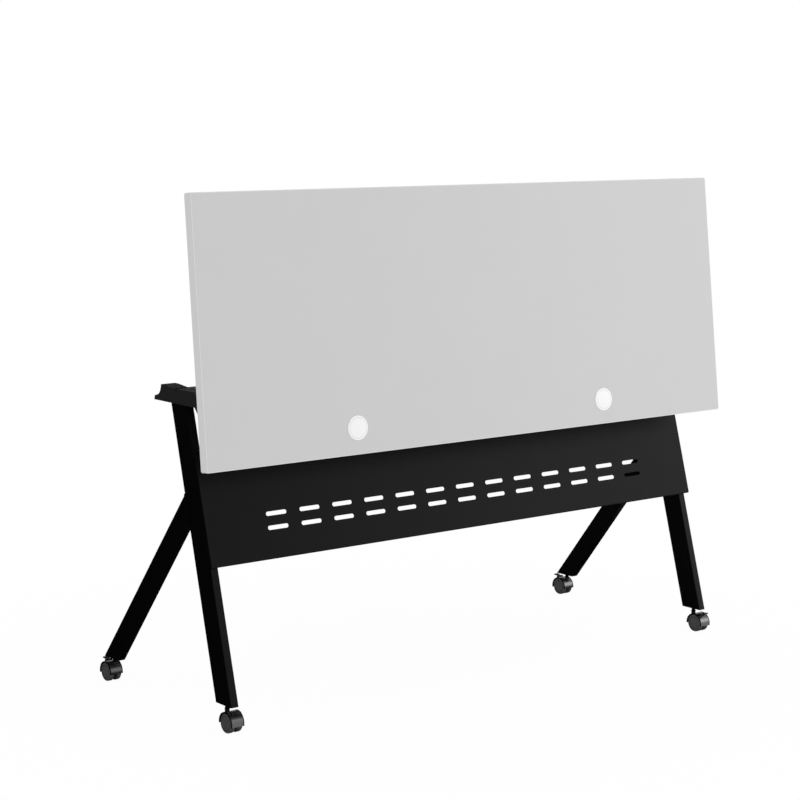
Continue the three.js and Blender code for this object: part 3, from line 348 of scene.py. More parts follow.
class Shell:
    """A mesh that grows from rings of points."""

    def __init__(self):
        self.mesh = bmesh.new()

    def ring(self, points):
        """Adds a ring of points and returns its vertices."""
        return [self.mesh.verts.new(point) for point in points]

    def level(self, outline, height, axis="z"):
        """Adds a flat ring with an outline's points, at a height along an axis."""
        return self.ring([LIFT[axis](a, b, height) for a, b in outline])

    def around(self, section, low, high, corner):
        """Adds the rings of a section of (inset, height) points round a rectangle with round corners."""
        rings = []
        for inset, z in section:
            loop = rounded_rectangle(low.x + inset, high.x - inset, low.y + inset, high.y - inset,
                                     corner - inset)
            rings.append(self.level(loop, z))
        return rings

    def wall(self, lower, upper):
        """Joins two rings with a band of faces; a ring of one point gives a fan."""
        count = max(len(lower), len(upper))
        for i in range(count):
            j = (i + 1) % count
            face = [lower[i % len(lower)], lower[j % len(lower)],
                    upper[j % len(upper)], upper[i % len(upper)]]
            self.mesh.faces.new(dict.fromkeys(face))
        return self

    def strip(self, rings, closed=False):
        """Joins rings in their order, and the last to the first where closed."""
        for lower, upper in zip(rings, rings[1:]):
            self.wall(lower, upper)
        if closed:
            self.wall(rings[-1], rings[0])
        return self

    def cap(self, ring):
        """Closes a ring with one face."""
        self.mesh.faces.new(ring)
        return self

    def fill(self, *rings):
        """Fills a flat outline, with the further rings as its holes."""
        edges = []
        for ring in rings:
            for start, end in zip(ring, ring[1:] + ring[:1]):
                edges.append(self.mesh.edges.get((start, end)) or self.mesh.edges.new((start, end)))
        bmesh.ops.triangle_fill(self.mesh, use_beauty=True, use_dissolve=False, edges=edges)
        return self

    def baked(self):
        """The finished mesh data, smooth except along sharp edges."""
        bmesh.ops.remove_doubles(self.mesh, verts=self.mesh.verts, dist=WELD_DISTANCE)
        bmesh.ops.recalc_face_normals(self.mesh, faces=self.mesh.faces)
        data = bpy.data.meshes.new("shell")
        self.mesh.to_mesh(data)
        self.mesh.free()
        return smoothed(data)


def smoothed(data):
    """Shades a mesh smooth except along sharp edges."""
    data.shade_smooth()
    data.set_sharp_from_angle(angle=SMOOTH_ANGLE)
    return data


def prism(outline, low, high, axis="x"):
    """A closed block with an outline's section along an axis."""
    shell = Shell()
    rings = [shell.level(outline, height, axis) for height in (low, high)]
    return shell.wall(*rings).cap(rings[0]).cap(rings[1])


def rod(radius, low, high, middle=(0, 0, 0), axis="x", steps=SMALL_ROUND_STEPS):
    """A round bar along an axis."""
    return moved(prism(circle(0, 0, radius, steps), low, high, axis), middle)


def turned(profile, axis="z", steps=ROUND_STEPS):
    """A profile of (radius, height) points turned round an axis; a repeated first point closes it."""
    shell = Shell()
    closed = profile[0] == profile[-1]
    rings = []
    for radius, height in profile[:-1] if closed else profile:
        points = circle(0, 0, radius, steps) if radius > 0 else [(0, 0)]
        rings.append(shell.level(points, height, axis))
    return shell.strip(rings, closed)


def tube(rings):
    """A hollow tube from its rings: two of the outside and two of the inside, in their order."""
    shell = Shell()
    return shell.strip([shell.ring(ring) for ring in rings], closed=True)


def swept(path, radius, sides=WIRE_SIDES, closed=False):
    """A round wire along a path of points; the radius may be one number or a list of them."""
    shell = Shell()
    count = len(path)
    radii = radius if isinstance(radius, list) else [radius] * count
    spokes = circle(0, 0, 1, sides)
    rings = []
    normal = None
    for i, point in enumerate(path):
        ahead = path[(i + 1) % count] if closed or i + 1 < count else point
        behind = path[i - 1] if closed or i > 0 else point
        along = (ahead - behind).normalized()
        normal = normal or along.orthogonal()
        normal = (normal - along * normal.dot(along)).normalized()
        across = along.cross(normal)
        rings.append(shell.ring([point + radii[i] * (a * normal + b * across) for a, b in spokes]))
    shell.strip(rings, closed)
    return shell if closed else shell.cap(rings[0]).cap(rings[-1])


def combined(base, joined=(), removed=()):
    """One mesh from a shell, with further shells joined to it and then others cut away."""
    def solid(shell):
        made = bpy.data.objects.new("solid", shell.baked())
        bpy.context.scene.collection.objects.link(made)
        return made

    body = solid(base)
    tools = []
    for operation, shells in (("UNION", joined), ("DIFFERENCE", removed)):
        for shell in shells:
            tool = solid(shell)
            tools.append(tool)
            step = body.modifiers.new(operation, "BOOLEAN")
            step.operation, step.object, step.solver = operation, tool, "EXACT"
    view = bpy.context.evaluated_depsgraph_get()
    data = bpy.data.meshes.new_from_object(body.evaluated_get(view))
    for spent in (body, *tools):
        bpy.data.objects.remove(spent)
    whole = bmesh.new()
    whole.from_mesh(data)
    bmesh.ops.dissolve_degenerate(whole, dist=SLIVER, edges=whole.edges)
    whole.to_mesh(data)
    whole.free()
    return smoothed(data)


def moved(shell, offset):
    """The same shell, moved by an offset."""
    bmesh.ops.translate(shell.mesh, verts=shell.mesh.verts, vec=offset)
    return shell


def eased(target, edge):
    """Breaks a piece's sharp edges with a small radius and keeps its flat faces flat in the light."""
    if edge:
        weld = target.modifiers.new("Weld", "WELD")
        weld.merge_threshold = SLIVER
        whole = target.modifiers.new("Whole faces", "DECIMATE")
        whole.decimate_type, whole.angle_limit = "DISSOLVE", FLAT_ANGLE
        bevel = target.modifiers.new("Edge radius", "BEVEL")
        bevel.width, bevel.segments = edge, BEVEL_STEPS
        bevel.limit_method, bevel.angle_limit = "ANGLE", SMOOTH_ANGLE
        bevel.use_clamp_overlap = True
    flat = target.modifiers.new("Flat faces", "WEIGHTED_NORMAL")
    flat.keep_sharp = True
    return target


def piece(name, data, body, slot, replaces=(), place=None, edge=0.0):
    """Adds a piece to the table: it rides on a body and takes a slot's finish."""
    made = bpy.data.objects.new(name, data.baked() if isinstance(data, Shell) else data)
    bpy.context.scene.collection.objects.link(made)
    made.matrix_world = place or Matrix()
    if not made.data.materials:
        made.data.materials.append(finish(slot))
    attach(made, body)
    if replaces:
        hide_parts(*replaces)
    return eased(made, edge)


def dress(node, slot, edge):
    """Gives a CAD node its finish and softer edges."""
    target = frame["nodes"][node]
    target.data.materials.clear()
    target.data.materials.append(finish(slot))
    target.data.shade_smooth()
    return eased(target, edge)


# Finishes, with the places of a Mix node's colour sockets, which share their names with others

MIX_FACTOR, MIX_FIRST, MIX_SECOND, MIX_RESULT = 0, 6, 7, 2


class Wire:
    """A value in a node tree, on which arithmetic adds Math nodes."""

    def __init__(self, tree, socket):
        self.tree = tree
        self.socket = socket

    def math(self, operation, first, second):
        node = self.tree.nodes.new("ShaderNodeMath")
        node.operation = operation
        for entry, value in zip(node.inputs, (first, second)):
            if isinstance(value, Wire):
                self.tree.links.new(value.socket, entry)
            else:
                entry.default_value = value
        return Wire(self.tree, node.outputs[0])

    def __add__(self, other):
        return self.math("ADD", self, other)

    def __sub__(self, other):
        return self.math("SUBTRACT", self, other)

    def __rsub__(self, other):
        return self.math("SUBTRACT", other, self)

    def __mul__(self, other):
        return self.math("MULTIPLY", self, other)

    __radd__ = __add__
    __rmul__ = __mul__


class Tree:
    """A node tree and the one way in which nodes are added to it."""

    def __init__(self, tree):
        self.tree = tree

    def node(self, kind, settings=None, sockets=None, output=0):
        """Adds a node with its settings and its sockets' values or links, and returns an output."""
        made = self.tree.nodes.new(kind)
        for name, value in (settings or {}).items():
            setattr(made, name, value)
        for name, value in (sockets or {}).items():
            if isinstance(value, Wire):
                self.tree.links.new(value.socket, made.inputs[name])
            else:
                made.inputs[name].default_value = value
        return Wire(self.tree, made.outputs[output])


class Finish(Tree):
    """A material with one Principled shader."""

    def __init__(self, name):
        self.material = bpy.data.materials.new(name)
        self.material.use_nodes = True
        super().__init__(self.material.node_tree)
        self.shader = self.tree.nodes["Principled BSDF"]
        self.place = self.node("ShaderNodeTexCoord", output="Object")

    def noise(self, scale, detail=2.0, roughness=0.5, stretch=(1, 1, 1)):
        """Even noise between 0 and 1, with a scale in features per metre."""
        where = self.node("ShaderNodeMapping", sockets={"Vector": self.place, "Scale": stretch})
        return self.node("ShaderNodeTexNoise", sockets={
            "Vector": where, "Scale": scale, "Detail": detail, "Roughness": roughness})

    def between(self, factor, first, second):
        """A colour between two others."""
        sockets = {MIX_FACTOR: factor, MIX_FIRST: (*first, 1.0), MIX_SECOND: (*second, 1.0)}
        return self.node("ShaderNodeMix", {"data_type": "RGBA"}, sockets, MIX_RESULT)

    def bump(self, height, strength, distance):
        """A normal that follows a height."""
        return self.node("ShaderNodeBump", sockets={
            "Height": height, "Strength": strength, "Distance": distance}, output="Normal")

    def coat(self, base, mask, tones, relief, **sockets):
        """Sets a colour between two shares of the base, a relief (height, strength, depth) and the rest."""
        first, second = (tuple(min(1.0, part * tone) for part in base) for tone in tones)
        height, strength, depth = relief
        return self.set(Base_Color=self.between(mask, first, second),
                        Normal=self.bump(height, strength, depth * MM), **sockets)

    def set(self, **sockets):
        """Sets or links the shader's sockets, named with underscores for spaces."""
        for name, value in sockets.items():
            entry = self.shader.inputs[name.replace("_", " ")]
            if isinstance(value, Wire):
                self.tree.links.new(value.socket, entry)
            else:
                entry.default_value = value
        return self.material


def laminate_finish(made, base):
    """Melamine faced board: a fine even grain and a faint cloudiness."""
    grain = made.noise(1500, 4, 0.6)
    cloud = made.noise(7)
    return made.coat(base, 0.6 * grain + 0.4 * cloud, (0.965, 1.035), (grain, 0.12, 0.1),
                     Roughness=0.5 + 0.1 * grain, Specular_IOR_Level=0.35)


def edge_band_finish(made, base):
    """Plastic edge band: faint streaks along the edge and a fine grain."""
    streak = made.noise(420, 3, 0.5, (0.05, 0.05, 1))
    grain = made.noise(1600)
    return made.coat(base, streak, (0.97, 1.03), (grain, 0.1, 0.08),
                     Roughness=0.42 + 0.1 * grain, Specular_IOR_Level=0.4)


def black_coat_finish(made, base):
    """Black powder coat: fine orange peel and a slight change of gloss."""
    peel = made.noise(780, 3, 0.55)
    cloud = made.noise(11)
    return made.coat(base, cloud, (0.85, 1.2), (peel, 0.22, 0.12),
                     Roughness=0.38 + 0.1 * peel + 0.04 * cloud, Specular_IOR_Level=0.1)


def cast_black_finish(made, base):
    """Coated casting: a coarser skin than the sheet parts."""
    skin = made.noise(430, 5, 0.65)
    cloud = made.noise(28)
    return made.coat(base, 0.5 * skin + 0.5 * cloud, (0.85, 1.3), (skin, 0.35, 0.2),
                     Roughness=0.45 + 0.14 * skin, Specular_IOR_Level=0.16)


def white_plastic_finish(made, base):
    """White moulded plastic with a satin gloss."""
    skin = made.noise(900)
    cloud = made.noise(40)
    return made.coat(base, cloud, (0.985, 1.015), (skin, 0.05, 0.06), Roughness=0.3 + 0.08 * skin)


def latch_plastic_finish(made, base):
    """Black moulded nylon of the latches and plugs, with a fine matt skin."""
    skin = made.noise(1600, 3, 0.6)
    cloud = made.noise(70)
    return made.coat(base, cloud, (0.8, 1.3), (skin, 0.25, 0.1),
                     Roughness=0.44 + 0.12 * skin, Specular_IOR_Level=0.22)


def caster_plastic_finish(made, base):
    """Black moulded nylon with a deep gloss and a fine spark eroded skin."""
    skin = made.noise(1900, 3, 0.6)
    cloud = made.noise(55)
    return made.coat(base, cloud, (0.8, 1.2), (skin, 0.12, 0.1), Roughness=0.26 + 0.1 * skin, IOR=2.0)


def wheel_plastic_finish(made, base):
    """Dark grey wheel plastic with light scuffs."""
    skin = made.noise(1500, 3, 0.6)
    scuff = made.noise(160, 4, 0.7, (0.4, 1, 1))
    return made.coat(base, 0.4 * skin + 0.6 * scuff, (0.95, 1.3), (skin, 0.2, 0.1),
                     Roughness=0.38 + 0.14 * scuff, Specular_IOR_Level=0.8)


def zinc_steel_finish(made, base):
    """Bright zinc plate with a faint crystalline bloom."""
    bloom = made.noise(260, 4, 0.6)
    scratch = made.noise(900, 2, 0.5, (1, 0.12, 1))
    return made.coat(base, bloom, (0.85, 1.12), (scratch, 0.08, 0.05), Metallic=1.0,
                     Roughness=0.26 + 0.14 * bloom + 0.06 * scratch)


def rubber_finish(made, base):
    """Matt black rubber."""
    skin = made.noise(1100, 4, 0.7)
    return made.coat(base, skin, (0.8, 1.4), (skin, 0.3, 0.12),
                     Roughness=0.8 + 0.12 * skin, Specular_IOR_Level=0.25)


def nylon_finish(made, base):
    """Dark nylon with a waxy sheen."""
    skin = made.noise(700, 3)
    return made.coat(base, skin, (0.9, 1.15), (skin, 0.08, 0.06),
                     Roughness=0.42 + 0.1 * skin, Specular_IOR_Level=0.35)


RECIPES = {
    "laminate": laminate_finish,
    "edge_band": edge_band_finish,
    "black_coat": black_coat_finish,
    "cast_black": cast_black_finish,
    "white_plastic": white_plastic_finish,
    "latch_plastic": latch_plastic_finish,
    "caster_plastic": caster_plastic_finish,
    "wheel_plastic": wheel_plastic_finish,
    "zinc_steel": zinc_steel_finish,
    "rubber": rubber_finish,
    "nylon": nylon_finish,
}


def finish(slot):
    """The material of a slot, made the first time that it is asked for."""
    known = bpy.data.materials.get(f"finish_{slot}")
    if known:
        return known
    base = tuple(getattr(settings().finishes, slot))
    return RECIPES[slot](Finish(f"finish_{slot}"), base)


def settings():
    """The table's settings in the scene."""
    return bpy.context.scene.training_table


# Worktop

def board_shell(sizes):
    """The board with its two round grommet holes."""
    low, high = corners("edge_band", TOP_PLACE)
    inset = sizes.band + sizes.seam
    outline = rounded_rectangle(low.x + inset, high.x - inset, low.y + inset, high.y - inset,
                                sizes.corner - sizes.band)
    bore = sizes.sleeve_radius + sizes.seam
    middles = [grommet_middle(side) for side in SIDES]
    loops = [outline, *(circle(middle.x, middle.y, bore) for middle in middles)]
    shell = Shell()
    lower, upper = ([shell.level(loop, z) for loop in loops] for z in (low.z, high.z))
    for rings in zip(lower, upper):
        shell.wall(*rings)
    return shell.fill(*lower).fill(*upper)


def band_shell(sizes):
    """The edge band, a rounded strip all round the board."""
    low, high = corners("edge_band", TOP_PLACE)
    turn = sizes.band_round
    section = [(sizes.band, low.z), *arc(turn, low.z + turn, turn, 270, 180, CORNER_STEPS),
               *arc(turn, high.z - turn, turn, 180, 90, CORNER_STEPS), (sizes.band, high.z)]
    shell = Shell()
    return shell.strip(shell.around(section, low, high, sizes.corner), closed=True)


class TABLE_OT_worktop(Operator):
    """Builds the board and its edge band"""
    bl_idname = "training_table.worktop"
    bl_label = "Worktop"

    def execute(self, context):
        sizes = settings().worktop
        piece("board", board_shell(sizes), "top", "laminate", ["worktop_board"], TOP_PLACE)
        piece("band", band_shell(sizes), "top", "edge_band", ["edge_band"], TOP_PLACE)
        return {"FINISHED"}


# Grommets

def grommet_middle(side):
    """The middle of a grommet on the top's own axes."""
    low, high = corners(f"{side}_grommet_sleeve", TOP_PLACE)
    return (low + high) / 2


def sleeve_shell(sizes, low, high, cap_low):
    """A grommet sleeve: a tube with a rounded flange and a ledge for its cap."""
    flange = (high.x - low.x) / 2
    bore = sizes.sleeve_radius - sizes.sleeve_wall
    turn = sizes.flange_round
    under = high.z - sizes.flange_rise
    lip = sizes.sleeve_lip
    ledge = bore - sizes.ledge
    seat = cap_low - sizes.ledge_gap
    profile = [(bore, low.z), (sizes.sleeve_radius, low.z), (sizes.sleeve_radius, under), (flange, under),
               *arc(flange - turn, high.z - turn, turn, 0, 90, CORNER_STEPS),
               *arc(bore + lip, high.z - lip, lip, 90, 180, CORNER_STEPS),
               (bore, seat), (ledge, seat), (ledge, seat - sizes.ledge), (bore, seat - 2 * sizes.ledge),
               (bore, low.z)]
    return turned(profile)


def cap_shell(sizes, low, high):
    """A grommet cap: a shallow dome with a rounded rim."""
    radius = (high.x - low.x) / 2
    turn = sizes.cap_round
    rim = high.z - sizes.cap_dome
    crown = [(radius * (1 - share), rim + sizes.cap_dome * (1 - (1 - share) ** 2))
             for share in (step / CAP_STEPS for step in range(2, CAP_STEPS + 1))]
    return turned([(0, low.z), (radius - turn, low.z), (radius, low.z + turn),
                   *arc(radius - turn, rim - turn, turn, 0, 90, CORNER_STEPS), *crown])


class TABLE_OT_grommets(Operator):
    """Builds the cable grommets and their caps"""
    bl_idname = "training_table.grommets"
    bl_label = "Cable grommets"

    def execute(self, context):
        sizes = settings().worktop
        for side in SIDES:
            middle = grommet_middle(side)
            place = TOP_PLACE @ Matrix.Translation((middle.x, middle.y, 0))
            cap = corners(f"{side}_grommet_cap", place)
            sleeve = sleeve_shell(sizes, *corners(f"{side}_grommet_sleeve", place), cap[0].z)
            piece(f"{side}_sleeve", sleeve, "top", "white_plastic", [f"{side}_grommet_sleeve"], place)
            piece(f"{side}_cap", cap_shell(sizes, *cap), f"{side}_cap", "white_plastic",
                  [f"{side}_grommet_cap"], place)
        return {"FINISHED"}


# Legs

def tube_rings(sizes, middle, footprint, direction, bottom, top_height):
    """A leaning tube's rings: outer bottom, outer top, inner top, inner bottom."""
    rings = []
    for wall in (0.0, sizes.wall):
        half_width = sizes.width / 2 - wall
        half_depth = footprint / 2 - wall / direction.normalized().z
        outline = rounded_rectangle(-half_width, half_width, -half_depth, half_depth,
                                    sizes.corner - wall / 2)
        feet = [Vector((middle.x + x, middle.y + y, bottom)) for x, y in outline]
        heads = [foot + direction * (top_height(foot) - bottom) for foot in feet]
        rings += [feet, heads] if wall == 0 else [heads, feet]
    return rings


def post_measures(side, sizes):
    """A rear post's middle at its foot, its footprint, its direction and its ends."""
    low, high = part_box(f"{side}_rear_post")
    direction = Vector((0, math.tan(sizes.post_lean), 1))
    footprint = (high.y - low.y) - direction.y * (high.z - low.z)
    middle = Vector(((low.x + high.x) / 2, low.y + footprint / 2, 0))
    return middle, footprint, direction, low.z, high.z


def front_leg_rings(side, sizes):
    """A front leg's rings, cut to the front face of its post."""
    post_middle, post_footprint, post_direction, bottom, _ = post_measures(side, sizes)
    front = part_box(f"{side}_front_leg")[1].y
    direction = Vector((0, -math.tan(sizes.front_lean), 1))
    footprint = sizes.front_depth / math.cos(sizes.front_lean)
    middle = Vector((post_middle.x, front - footprint / 2, 0))
    face = post_middle.y + post_footprint / 2

    def meets_post(foot):
        return bottom + (foot.y - face) / (post_direction.y - direction.y)

    return tube_rings(sizes, middle, footprint, direction, bottom, meets_post)


def weld_shell(loop, sizes):
    """A weld bead with ripples, all round a joint."""
    path = []
    for start, end in zip(loop, loop[1:] + loop[:1]):
        count = max(1, round((end - start).length / sizes.weld))
        path += [start.lerp(end, step / count) for step in range(count)]
    radii = [sizes.weld + sizes.weld_ripple * (step % 2) for step in range(len(path))]
    return swept(path, radii, WELD_SIDES, closed=True)


class TABLE_OT_legs(Operator):
    """Builds the posts, the front legs, their welds and their end plugs"""
    bl_idname = "training_table.legs"
    bl_label = "Legs"

    def execute(self, context):
        sizes = settings().legs
        for side in SIDES:
            middle, footprint, direction, bottom, top = post_measures(side, sizes)
            rings = tube_rings(sizes, middle, footprint, direction, bottom, lambda foot: top)
            piece(f"{side}_post", tube(rings), "frame", "black_coat", [f"{side}_rear_post"])
            rings = front_leg_rings(side, sizes)
            piece(f"{side}_leg", tube(rings), "frame", "black_coat", [f"{side}_front_leg"])
            piece(f"{side}_leg_weld", weld_shell(rings[1], sizes), "frame", "black_coat")
            dress(f"{side}_rear_plug", "latch_plastic", settings().hardware.edge)
            dress(f"{side}_front_plug", "latch_plastic", settings().hardware.edge)
        return {"FINISHED"}


# Hinge heads and the cross beam

def socket_cut(sizes, depth_from, depth_to, axis="z"):
    """A hexagon socket's cutter."""
    return rod(sizes.socket, depth_from, depth_to, axis=axis, steps=HEXAGON_SIDES)


def pin_mesh(sizes, low, high, side):
    """A pivot pin along X with a rounded head, a hexagon socket and a chamfered tip."""
    inner, outer = (high.x, low.x) if side < 0 else (low.x, high.x)
    head = (high.z - low.z) / 2
    shank, turn, tip = sizes.pin_shank, sizes.pin_round, sizes.pin_tip
    seat = inner + side * sizes.pin_head
    rim = [(r, inner + side * h) for r, h in arc(head - turn, turn, turn, -90, 0, DOME_STEPS)]
    profile = [(0, inner), *rim, (head, seat), (shank, seat), (shank, outer - side * tip),
               (shank - tip, outer), (0, outer)]
    cutter = socket_cut(sizes, inner - side * CUT_OVERLAP, inner + side * 2 * sizes.socket_depth, "x")
    return combined(turned(profile, "x", SMALL_ROUND_STEPS), removed=[cutter])


def pad_shell(sizes, low, high):
    """A round support pad with a rounded top."""
    radius = (high.x - low.x) / 2
    turn = sizes.pad_round
    profile = [(0, low.z), (radius, low.z), *arc(radius - turn, high.z - turn, turn, 0, 90, CORNER_STEPS),
               (0, high.z)]
    return turned(profile, steps=SMALL_ROUND_STEPS)


def beam_shell(sizes, low, high):
    """The cross beam, a tube along X."""
    rings = []
    for wall in (0.0, sizes.wall):
        outline = rounded_rectangle(low.y + wall, high.y - wall, low.z + wall, high.z - wall,
                                    sizes.beam_corner - wall)
        ends = [[(x, y, z) for y, z in outline] for x in (low.x, high.x)]
        rings += ends if wall == 0 else ends[::-1]
    return tube(rings)


class TABLE_OT_heads(Operator):
    """Builds the hinge heads with their pins, bushes and pads, and the beam between them"""
    bl_idname = "training_table.heads"
    bl_label = "Hinge heads and beam"

    def execute(self, context):
        hardware = settings().hardware
        for side, sign in SIDES.items():
            dress(f"{side}_hinge_head", "cast_black", hardware.edge)
            dress(f"{side}_pivot_bush", "nylon", hardware.edge / 2)
            place = Matrix.Translation((0, *FLIP["pos_m"][1:]))
            pin = pin_mesh(hardware, *corners(f"{side}_pivot_pin", place), sign)
            piece(f"{side}_pin", pin, "frame", "zinc_steel", [f"{side}_pivot_pin"], place)
            low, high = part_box(f"{side}_support_pad")
            place = Matrix.Translation(((low.x + high.x) / 2, (low.y + high.y) / 2, 0))
            pad = pad_shell(hardware, low, high)
            piece(f"{side}_pad", pad, "frame", "rubber", [f"{side}_support_pad"], place)
        beam = beam_shell(settings().legs, *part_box("cross_beam"))
        piece("beam", beam, "frame", "black_coat", ["cross_beam"])
        return {"FINISHED"}


# Modesty panel

def panel_place():
    """The panel's own axes: Y up the panel and Z out of its face, from its lower edge."""
    tilt = Matrix.Rotation(math.pi / 2 - settings().legs.post_lean, 4, "X")
    turned_low, turned_high = corners("modesty_panel", tilt)
    origin = tilt @ Vector((0, turned_low.y, turned_high.z))
    return Matrix.Translation(origin) @ tilt


def slot_outline(sizes, x, y):
    """A round ended slot."""
    radius = sizes.slot_height / 2
    straight = sizes.slot_length / 2 - radius
    return [*arc(x + straight, y, radius, -90, 90, 2 * CORNER_STEPS),
            *arc(x - straight, y, radius, 90, 270, 2 * CORNER_STEPS)]


def panel_shell(sizes, low, high):
    """The folded tray: its slotted face, round folds and four side walls."""
    depth = low.z - high.z
    inner_bend = sizes.bend - sizes.sheet
    outside = arc(sizes.bend, -sizes.bend, sizes.bend, 90, 180, CORNER_STEPS)
    inside = arc(sizes.bend, -sizes.bend, inner_bend, 180, 90, CORNER_STEPS)
    shell = Shell()
    rings = shell.around([*outside, (0, depth), (sizes.sheet, depth), *inside], low, high, sizes.corner)
    shell.strip(rings)
    front, back = [rings[0]], [rings[-1]]
    for row in range(sizes.rows):
        for column in range(sizes.columns):
            x = (column - (sizes.columns - 1) / 2) * sizes.pitch
            slot = slot_outline(sizes, x, sizes.lower_row + row * sizes.row_pitch)
            edges = [shell.level(slot, z) for z in (0, -sizes.sheet)]
            shell.wall(*edges)
            front.append(edges[0])
            back.append(edges[1])
    return shell.fill(*front).fill(*back)


def bolt_mesh(sizes, low, high):
    """A button headed bolt along Z, its head at the lower end, with a hexagon socket."""
    head = (high.x - low.x) / 2
    shank, rise = sizes.bolt_shank, sizes.bolt_rise
    seat = low.z + rise
    crown = dome(head, seat, -rise)[:0:-1]
    profile = [(0, low.z), *crown, (head, seat - sizes.bolt_rim), (head, seat), (shank, seat),
               (shank, high.z), (0, high.z)]
    cutter = socket_cut(sizes, low.z - CUT_OVERLAP, low.z + sizes.socket_depth)
    return combined(turned(profile, steps=SMALL_ROUND_STEPS), removed=[cutter])


class TABLE_OT_modesty_panel(Operator):
    """Builds the slotted modesty panel and its four bolts"""
    bl_idname = "training_table.modesty_panel"
    bl_label = "Modesty panel"

    def execute(self, context):
        place = panel_place()
        panel = panel_shell(settings().panel, *corners("modesty_panel", place))
        piece("panel", panel, "frame", "black_coat", ["modesty_panel"], place)
        for side in SIDES:
            for level in ("lower", "upper"):
                node = f"{side}_{level}_panel_bolt"
                low, high = corners(node, place)
                middle = (low + high) / 2
                own = place @ Matrix.Translation((middle.x, middle.y, 0))
                bolt = bolt_mesh(settings().hardware, *corners(node, own))
                piece(f"{side}_{level}_bolt", bolt, "frame", "zinc_steel", [node], own)
        return {"FINISHED"}


# Top brackets, with their screws at shares of a plate's width and of a bracket's length

SCREW_COLUMNS = (0.25, 0.68)
SCREW_ROWS = (0.05, 0.42, 0.68, 0.93)


def screw_mesh(sizes):
    """A pan headed screw that points up, with its head's seat at zero."""
    rise = sizes.screw_rise
    profile = [(0, 0), *dome(sizes.screw_head, 0, -rise), (0, -rise)]
    cutter = socket_cut(sizes, -rise - CUT_OVERLAP, sizes.socket_depth - rise)
    return combined(turned(profile, steps=SMALL_ROUND_STEPS), removed=[cutter])


class TABLE_OT_brackets(Operator):
    """Dresses the top brackets and adds the screws that hold them to the board"""
    bl_idname = "training_table.brackets"
    bl_label = "Top brackets"

    def execute(self, context):
        hardware = settings().hardware
        screw = screw_mesh(hardware)
        screw.materials.append(finish("zinc_steel"))
        for side, sign in SIDES.items():
            dress(f"{side}_top_bracket", "black_coat", hardware.edge)
            low, high = corners(f"{side}_top_bracket", TOP_PLACE)
            plate_inner = sign * min(abs(low.x), abs(high.x))
            seat = high.z - hardware.plate_sheet
            for row, along in enumerate(SCREW_ROWS):
                for column, across in enumerate(SCREW_COLUMNS):
                    x = plate_inner + sign * hardware.plate_width * across
                    y = low.y + (high.y - low.y) * along
                    place = TOP_PLACE @ Matrix.Translation((x, y, seat))
                    piece(f"{side}_bracket_screw_{row}{column}", screw, "top", "zinc_steel", place=place)
        return {"FINISHED"}


# Latches

def latch_pin_shell(sizes, low, high, sign):
    """A latch pin along X with a domed head at its outer end."""
    head = (high.z - low.z) / 2
    shank, tip = sizes.latch_shank, sizes.latch_tip
    inner, outer = (high.x, low.x) if sign < 0 else (low.x, high.x)
    seat = outer - sign * sizes.latch_rise
    profile = [(0, inner), (shank - tip, inner), (shank, inner + sign * tip), (shank, seat),
               *dome(head, seat, sign * sizes.latch_rise), (0, outer)]
    return turned(profile, "x", SMALL_ROUND_STEPS)


def spring_shell(sizes, low, high, sign):
    """A latch spring: close curls round the pin, with two straight legs."""
    radius = (high.z - low.z - sizes.wire) / 2
    start = (high.x if sign < 0 else low.x) + sign * sizes.wire / 2
    path = []
    for step in range(round(sizes.curls * CURL_STEPS) + 1):
        curl = step / CURL_STEPS
        turn = 2 * math.pi * curl
        x = start + sign * sizes.curl_pitch * curl
        path.append(Vector((x, radius * math.cos(turn), radius * math.sin(turn))))
    way_out = (path[-1] - path[-2]).normalized()
    parts = [sizes.spring_leg * (step + 1) / SPRING_LEG_STEPS for step in range(SPRING_LEG_STEPS)]
    entry = [path[0] - Vector((0, 0, part)) for part in reversed(parts)]
    tail = [path[-1] + way_out * part for part in parts]
    return swept([*entry, *path, *tail], sizes.wire / 2)


def ribs_shell(sizes, width):
    """The ribbed face under a latch grip, across its width."""
    half_length = sizes.grip_length / 2 - sizes.grip_margin
    half_width = width / 2 - sizes.grip_margin
    face = -sizes.grip_sheet / 2 - sizes.rib / 4
    outline = [(-half_length, face)]
    for step in range(sizes.ribs):
        middle = half_length * (2 * (step + 0.5) / sizes.ribs - 1)
        outline += arc(middle, face, sizes.rib, 180, 360, CORNER_STEPS)
    outline += [(half_length, face), (half_length, face + sizes.rib), (-half_length, face + sizes.rib)]
    return prism(outline, -half_width, half_width)


def grip_place(sizes, x):
    """The middle and slope of a latch grip, seen from the latch's pin."""
    half_length = sizes.grip_length / 2
    lift = half_length * math.sin(sizes.grip_slope) - sizes.grip_sheet / 2
    middle = Matrix.Translation((x, sizes.grip_reach - half_length, lift - sizes.grip_drop))
    return middle @ Matrix.Rotation(-sizes.grip_slope, 4, "X")


